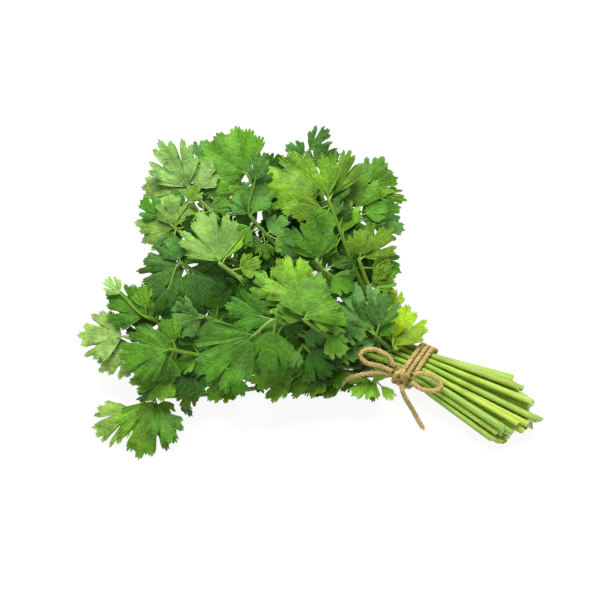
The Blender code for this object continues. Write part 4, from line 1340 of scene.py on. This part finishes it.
class Graph:
    """The nodes of one material, with the tint, grain and place on the piece to start from."""

    def __init__(self, name):
        self.material = bpy.data.materials.get(name) or bpy.data.materials.new(name)
        self.material.use_nodes = True
        self.tree = self.material.node_tree
        self.tree.nodes.clear()
        self.tint = self.node("ShaderNodeAttribute", {"attribute_name": "tint"}, output="Color")
        grain = self.node("ShaderNodeAttribute", {"attribute_name": "grain"}, output="Vector")
        outputs = self.node("ShaderNodeSeparateXYZ", None, {0: grain}).socket.node.outputs
        self.grain = [Value(self, output) for output in outputs]
        self.place = self.node("ShaderNodeTexCoord", output="Object")

    def node(self, kind, settings=None, inputs=None, output=0):
        """A node with its settings, then its sockets' values or links; one output is returned."""
        made = self.tree.nodes.new(kind)
        for key, value in (settings or {}).items():
            setattr(made, key, value)
        for key, value in (inputs or {}).items():
            if isinstance(value, Value):
                self.tree.links.new(value.socket, made.inputs[key])
            else:
                made.inputs[key].default_value = value
        return Value(self, made.outputs[output]) if made.outputs else None

    def joined(self, *numbers):
        """A vector of up to three numbers."""
        return self.node("ShaderNodeCombineXYZ", None, dict(enumerate(numbers)))

    def noise(self, vector, scale, detail=2.0, roughness=0.5):
        inputs = {"Vector": vector, "Scale": scale, "Detail": detail, "Roughness": roughness}
        return self.node("ShaderNodeTexNoise", None, inputs, "Fac")

    def mix(self, factor, first, second):
        """Two colours mixed by a factor."""
        first, second = [c if isinstance(c, Value) else (*c[:3], 1.0) for c in (first, second)]
        return self.node("ShaderNodeMix", {"data_type": "RGBA"}, {0: factor, 6: first, 7: second}, 2)

    def scaled(self, colour, factor):
        """A colour made lighter or darker by a varying number."""
        grey = self.joined(factor, factor, factor)
        return self.node("ShaderNodeVectorMath", {"operation": "MULTIPLY"}, {0: colour, 1: grey})

    def bump(self, height, strength, distance):
        inputs = {"Height": height, "Strength": strength, "Distance": distance}
        return self.node("ShaderNodeBump", None, inputs, "Normal")

    def finish(self, **sockets):
        """The Principled shader and the output; sockets are named with underscores for spaces."""
        inputs = {key.replace("_", " "): value for key, value in sockets.items()}
        shader = self.node("ShaderNodeBsdfPrincipled", None, inputs)
        self.node("ShaderNodeOutputMaterial", None, {"Surface": shader})
        return self.material


def leaf_material():
    """Soft satin leaf: paler veins, mottled green, a pale matt underside."""
    graph = Graph("fresh_leaf")
    away, reach, under = graph.grain
    patches = graph.noise(graph.place, 95.0, 3.0)
    mottle = graph.noise(graph.place, 420.0, 3.0)
    grain = graph.noise(graph.place, 1500.0)
    rank = (reach - away * 0.8 + mottle * 1.6) / 2.7
    line = (rank.maths("FRACT") - 0.5).maths("ABSOLUTE")
    side = (1 - line.smooth(0.02, 0.16)) * away.smooth(0.1, 0.6) * (1 - away.smooth(2.0, 5.0))
    main = 1 - away.smooth(0.02, 0.42)
    vein = (main * 0.8).maths("MAXIMUM", side * 0.45) * reach.smooth(0.5, 3.0)
    light = patches.smooth(0.25, 0.75) * 0.7 + mottle * 0.9 + grain * 0.3 - 0.02
    pale = graph.mix(0.25, graph.scaled(graph.tint, mottle * 0.4 + 1.5), (0.28, 0.42, 0.06))
    upper = graph.mix(vein * 0.34, graph.scaled(graph.tint, light), pale)
    lower = graph.mix(0.4, graph.scaled(graph.tint, mottle * 0.5 + 0.9), (0.18, 0.29, 0.06))
    height = vein * (under - 0.6) + grain * 0.3 + mottle * 1.1 + patches * 0.8
    return graph.finish(
        Base_Color=graph.mix(under, upper, lower),
        Roughness=mottle * 0.25 + under * 0.15 + 0.36,
        Normal=graph.bump(height, 0.8, 0.0007),
        Specular_IOR_Level=0.24,
    )


def stem_material():
    """Juicy stem: pale and dark green streaks along it, partly its own striping and partly painted
    highlight and painted shade, and a soft shine.
    """
    graph = Graph("fresh_stem")
    along, around, _ = graph.grain
    streaks = graph.noise(graph.joined(along * 0.04, around * 2.4), 3.0, 3.0)
    patches = graph.noise(graph.place, 90.0, 3.0)
    colour = graph.scaled(graph.tint, streaks * 0.9 + patches * 0.5 + 0.32)
    # Pale streaks: partly the stem's own striping, partly painted highlight.
    colour = graph.mix(streaks.smooth(0.52, 0.72) * 0.45, colour, (0.52, 0.68, 0.26))
    # Dark streaks: partly the stem's own striping, partly painted shade.
    colour = graph.mix((1 - streaks.smooth(0.30, 0.48)) * 0.5, colour, (0.10, 0.22, 0.002))
    return graph.finish(
        Base_Color=colour,
        Roughness=streaks * 0.2 + 0.25,
        Normal=graph.bump(streaks, 0.3, 0.0004),
        Specular_IOR_Level=0.4,
    )


def twine_material():
    """Natural jute: strands with painted shade in the grooves between them, and pale, dusty fibres."""
    graph = Graph("jute_twine")
    along, around, groove = graph.grain
    threads = graph.noise(graph.joined(along * 0.5, around * 3.0, groove), 6.0, 4.0, 0.7)
    patches = graph.noise(graph.place, 320.0, 3.0)
    colour = graph.scaled(graph.tint, threads + patches * 0.9 + 0.12)
    colour = graph.mix(threads.smooth(0.55, 0.8) * 0.4, colour, (0.72, 0.56, 0.30))
    # Painted shade: the colour darkens towards the bottom of the grooves between the strands.
    colour = graph.mix(groove.smooth(0.35, 0.95) * 0.75, colour, (0.09, 0.045, 0.008))
    return graph.finish(
        Base_Color=colour,
        Roughness=0.9,
        Normal=graph.bump(threads * 0.6 - groove * 0.8, 0.8, 0.0006),
        Specular_IOR_Level=0.15,
    )


def floor_material(colour):
    """Plain pale floor, faintly dusty."""
    graph = Graph("pale_floor")
    dust = graph.noise(graph.place, 3.0)
    return graph.finish(
        Base_Color=graph.mix(dust, colour, [0.97 * c for c in colour]),
        Roughness=0.9,
        Specular_IOR_Level=0.1,
        Emission_Color=(1.0, 1.0, 1.0, 1.0),
        Emission_Strength=FLOOR_GLOW,
    )


def colour_property(name, description, default):
    return bpy.props.FloatVectorProperty(
        name=name, description=description, default=default, subtype="COLOR", min=0.0, max=1.0)


def length_property(name, description, default):
    return bpy.props.FloatProperty(
        name=name, description=description, default=default * MM, unit="LENGTH")


class CorianderColours(bpy.types.PropertyGroup):
    """Colours of the bunch."""

    pale: colour_property("Pale leaf", "Young leaves turned to the light", (0.215, 0.375, 0.082))
    fresh: colour_property("Fresh leaf", "Upper leaves in full light", (0.160, 0.305, 0.045))
    light: colour_property("Light leaf", "Light green leaves", (0.125, 0.290, 0.014))
    # Painted light and shade: a half-lit copy of the leaf green, between the light and mid tones.
    soft: colour_property("Soft green leaf", "Upper leaves", (0.086, 0.228, 0.010))
    mid: colour_property("Green leaf", "Most of the leaves", (0.060, 0.186, 0.008))
    blue: colour_property("Blue-green leaf", "Cool green leaves", (0.064, 0.190, 0.026))
    # Painted shade: a darkened copy of the leaf green for leaves inside and under the bunch.
    dark: colour_property("Dark leaf", "Inner leaves", (0.022, 0.092, 0.002))
    olive: colour_property("Olive leaf", "Olive leaves", (0.098, 0.210, 0.005))
    yellow: colour_property("Yellow-green leaf", "Young leaf at the tie", (0.250, 0.410, 0.004))
    stem: colour_property("Stem", "Stems near the tie", (0.235, 0.390, 0.020))
    cut_stem: colour_property("Cut stem", "Stems towards the cut", (0.330, 0.490, 0.060))
    twine: colour_property("Twine", "Natural jute", (0.500, 0.375, 0.140))
    floor: colour_property("Floor", "Pale floor", (0.13, 0.13, 0.13))


class CorianderSizes(bpy.types.PropertyGroup):
    """Sizes of the bunch's finer parts."""

    blade: length_property("Blade thickness", "Thickness of a leaflet", FINE_THICKNESS)
    twine_pitch: length_property("Twine lay", "Length in which a strand turns once", 7.5)
    rope_step: length_property("Twine step", "Distance between the twine's rings", 0.65)
    fibre_length: length_property("Fibre length", "Longest loose fibre on the twine", 3.6)
    fibres: bpy.props.IntProperty(
        name="Fibres", description="Loose fibres on the twine", default=420, min=0)


def tone_of(colours, name):
    return tuple(getattr(colours, name))


class CORIANDER_OT_leafy_stems(bpy.types.Operator):
    """Build every leafy stem: ribbed stem, curved stalks and veined leaflets"""

    bl_idname = "coriander.leafy_stems"
    bl_label = "Leafy stems"

    def execute(self, context):
        laid = layout()
        colours = context.scene.coriander_colours
        materials = [leaf_material(), stem_material()]
        for stem, (name, _, tone, _) in enumerate(STEMS):
            draw = random.Random(SEED * 500 + stem)
            draft = Draft()
            tint = tone_of(colours, tone)
            route = laid["routes"][stem]
            leaves, extras = laid["leaves"][stem], laid["extras"][stem]
            tones = LEAF_TONES.get(name, "").split()
            for leaf, own in zip(leaves, tones + [tone] * len(leaves)):
                steps = FINE_STEPS[len(leaf["rim"])]
                add_blade(draft, leaf, shaded(tone_of(colours, own), draw, LEAF_SHADE), *steps, draw)
            for leaf in extras:
                inner = shaded(tone_of(colours, leaf["tone"]), draw, INNER_SHADE)
                add_blade(draft, leaf, inner, *FILL_STEPS, draw)
            thicken(draft, context.scene.coriander_sizes.blade)
            stalk = blend(tone_of(colours, "stem"), tint, STALK_GREEN)
            for leaf in leaves + extras:
                add_stalk(draft, leaf, route, shaded(stalk, draw, STALK_SHADE))
            add_stem(draft, route, laid["radii"][stem], tint, colours, draw)
            piece = finish_piece(draft, "leafy_" + name, materials)
            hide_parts("stem_" + name)
        return {"FINISHED"}


class TwineOperator:
    """What the operators that make twine share."""

    def start(self, context, seed):
        """The sizes, the twine's colour, a seeded draw and a fresh draft."""
        scene = context.scene
        tint = tone_of(scene.coriander_colours, "twine")
        return scene.coriander_sizes, tint, random.Random(SEED + seed), Draft()


class CORIANDER_OT_twine_wrap(TwineOperator, bpy.types.Operator):
    """Build the twine wrapped round the stems, with its knot"""

    bl_idname = "coriander.twine_wrap"
    bl_label = "Twine wrap and knot"

    def execute(self, context):
        sizes, tint, draw, draft = self.start(context, 31)
        step = sizes.rope_step / MM
        rings = [ring_route(*ring) for ring in KNOT_RINGS]
        for points in [wrap_line(step)] + [even_route(ring + ring[:2], step) for ring in rings]:
            add_rope(draft, points, sizes, tint, draw)
        piece = finish_piece(draft, "jute_wrap", [twine_material()])
        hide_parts("twine_wrap")
        return {"FINISHED"}


class CORIANDER_OT_twine_bow(TwineOperator, bpy.types.Operator):
    """Build the bow: its two loops and two free tails"""

    bl_idname = "coriander.twine_bow"
    bl_label = "Twine bow"

    def execute(self, context):
        for number, (node, marks) in enumerate(BOW.items()):
            sizes, tint, draw, draft = self.start(context, 50 + number)
            points = even_route(marks, sizes.rope_step / MM)
            add_rope(draft, points, sizes, tint, draw)
            piece = finish_piece(draft, node.replace("twine", "jute"), [twine_material()])
            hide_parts(node)
            path = [tuple(row_point(point)) for point in points]
            length = sum((b - a).length for a, b in zip(points, points[1:])) * MM
        return {"FINISHED"}


class CORIANDER_OT_twine_fibres(TwineOperator, bpy.types.Operator):
    """Build the loose fibres of the twine and the frayed ends of its tails"""

    bl_idname = "coriander.twine_fibres"
    bl_label = "Twine fibres"

    def execute(self, context):
        sizes, tint, draw, draft = self.start(context, 77)
        routes = [wrap_line(1.0)] + [even_route(marks, 1.0) for marks in BOW.values()]
        places = [(route, k) for route in routes for k in range(2, len(route) - 2)]
        longest = sizes.fibre_length / MM
        for _ in range(sizes.fibres):
            route, k = draw.choice(places)
            direction = (route[k + 1] - route[k - 1]).normalized()
            out = direction.orthogonal().normalized()
            out.rotate(Matrix.Rotation(draw.uniform(0, 2 * math.pi), 3, direction))
            lean = direction * draw.choice((-1, 1)) * draw.uniform(*FIBRE_LEAN)
            start = route[k] + out * TWINE_RADIUS * FIBRE_ROOT
            length = draw.uniform(*FIBRE_LENGTHS) * longest
            self.add_fibre(draft, start, out + lean, out, length, tint, draw)
        for marks in (BOW["twine_tail_left"], BOW["twine_tail_front"]):
            end = Vector(marks[-1])
            direction = (end - Vector(marks[-2])).normalized()
            for _ in range(FRAY):
                spread = Vector([draw.uniform(-FRAY_SPREAD, FRAY_SPREAD) for _ in range(3)])
                start = end - direction * FRAY_BACK + spread * TWINE_RADIUS
                length = draw.uniform(*FRAY_LENGTHS) * longest
                self.add_fibre(draft, start, direction + spread, spread, length, tint, draw)
        piece = finish_piece(draft, "jute_fibres", [twine_material()])
        return {"FINISHED"}

    def add_fibre(self, draft, start, direction, droop, length, tint, draw):
        """One thin, slightly curved fibre that tapers to its tip."""
        direction.normalize()
        bend = droop * draw.uniform(-FIBRE_BEND, FIBRE_BEND) * length
        points = []
        for share in (0.0, 0.5, 1.0):
            point = start + direction * length * share + bend * share**2
            points.append(Vector((point.x, point.y, max(point.z, FIBRE_LOWEST))))
        light = shaded([FIBRE_LIGHT * c for c in tint], draw, FIBRE_SHADE)
        stations = [(point, axes, FIBRE_RADIUS * (1 - FIBRE_TAPER * k), light, k)
                    for k, (point, axes) in enumerate(zip(points, carried_frames(points)))]
        add_bar(draft, stations, 3)


class CORIANDER_OT_stage(bpy.types.Operator):
    """Lay the pale floor, hang the soft lights and set the camera"""

    bl_idname = "coriander.stage"
    bl_label = "Stage"

    def execute(self, context):
        scene = context.scene
        work = bmesh.new()
        bmesh.ops.create_grid(work, x_segments=1, y_segments=1, size=FLOOR_HALF)
        bmesh.ops.translate(work, verts=work.verts, vec=(0, 0, -FLOOR_DROP))
        mesh = bpy.data.meshes.new("floor")
        work.to_mesh(mesh)
        work.free()
        mesh.materials.append(floor_material(tone_of(scene.coriander_colours, "floor")))
        floor = add_object("floor", mesh)
        for name, place, size, power in LIGHTS:
            light = bpy.data.lights.new(name, "AREA")
            light.shape = "SQUARE"
            light.size = size
            light.energy = power
            self.aim(add_object(name, light), Vector(place))
        world = scene.world = bpy.data.worlds.new("studio")
        world.use_nodes = True
        background = world.node_tree.nodes["Background"]
        background.inputs["Color"].default_value = (1.0, 1.0, 1.0, 1.0)
        background.inputs["Strength"].default_value = WORLD_STRENGTH
        scene.view_settings.view_transform = "Standard"
        camera = bpy.data.cameras.new("camera")
        camera.lens = CAMERA_LENS
        scene.camera = add_object("camera", camera)
        self.aim(scene.camera, CAMERA_TARGET + OUTWARD * CAMERA_DISTANCE)
        return {"FINISHED"}

    def aim(self, holder, place):
        """Put a light or camera in its place, facing the bunch."""
        holder.location = place
        holder.rotation_mode = "QUATERNION"
        holder.rotation_quaternion = (CAMERA_TARGET - place).to_track_quat("-Z", "Y")


class CORIANDER_PT_bunch(bpy.types.Panel):
    """Sidebar panel that lists the bunch's pieces"""

    bl_idname = "CORIANDER_PT_bunch"
    bl_label = "Coriander bunch"
    bl_space_type = "VIEW_3D"
    bl_region_type = "UI"
    bl_category = "Coriander"

    def draw(self, context):
        for group in (context.scene.coriander_sizes, context.scene.coriander_colours):
            box = self.layout.box()
            for key in group.bl_rna.properties.keys():
                if key not in ("rna_type", "name"):
                    box.prop(group, key)
        for operator in OPERATORS:
            self.layout.operator(operator.bl_idname)


OPERATORS = (
    CORIANDER_OT_stage,
    CORIANDER_OT_twine_bow,
    CORIANDER_OT_twine_wrap,
    CORIANDER_OT_twine_fibres,
    CORIANDER_OT_leafy_stems,
)
CLASSES = (CorianderColours, CorianderSizes, *OPERATORS, CORIANDER_PT_bunch)


def register():
    for item in CLASSES:
        bpy.utils.register_class(item)
    bpy.types.Scene.coriander_colours = bpy.props.PointerProperty(type=CorianderColours)
    bpy.types.Scene.coriander_sizes = bpy.props.PointerProperty(type=CorianderSizes)


def unregister():
    del bpy.types.Scene.coriander_sizes
    del bpy.types.Scene.coriander_colours
    for item in reversed(CLASSES):
        bpy.utils.unregister_class(item)


def write_sizes():
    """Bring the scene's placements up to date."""
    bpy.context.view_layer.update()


def main():
    register()
    bpy.ops.coriander.stage()
    bpy.ops.coriander.twine_bow()
    bpy.ops.coriander.twine_wrap()
    bpy.ops.coriander.twine_fibres()
    bpy.ops.coriander.leafy_stems()
    write_sizes()


if __name__ == "__main__":
    main()
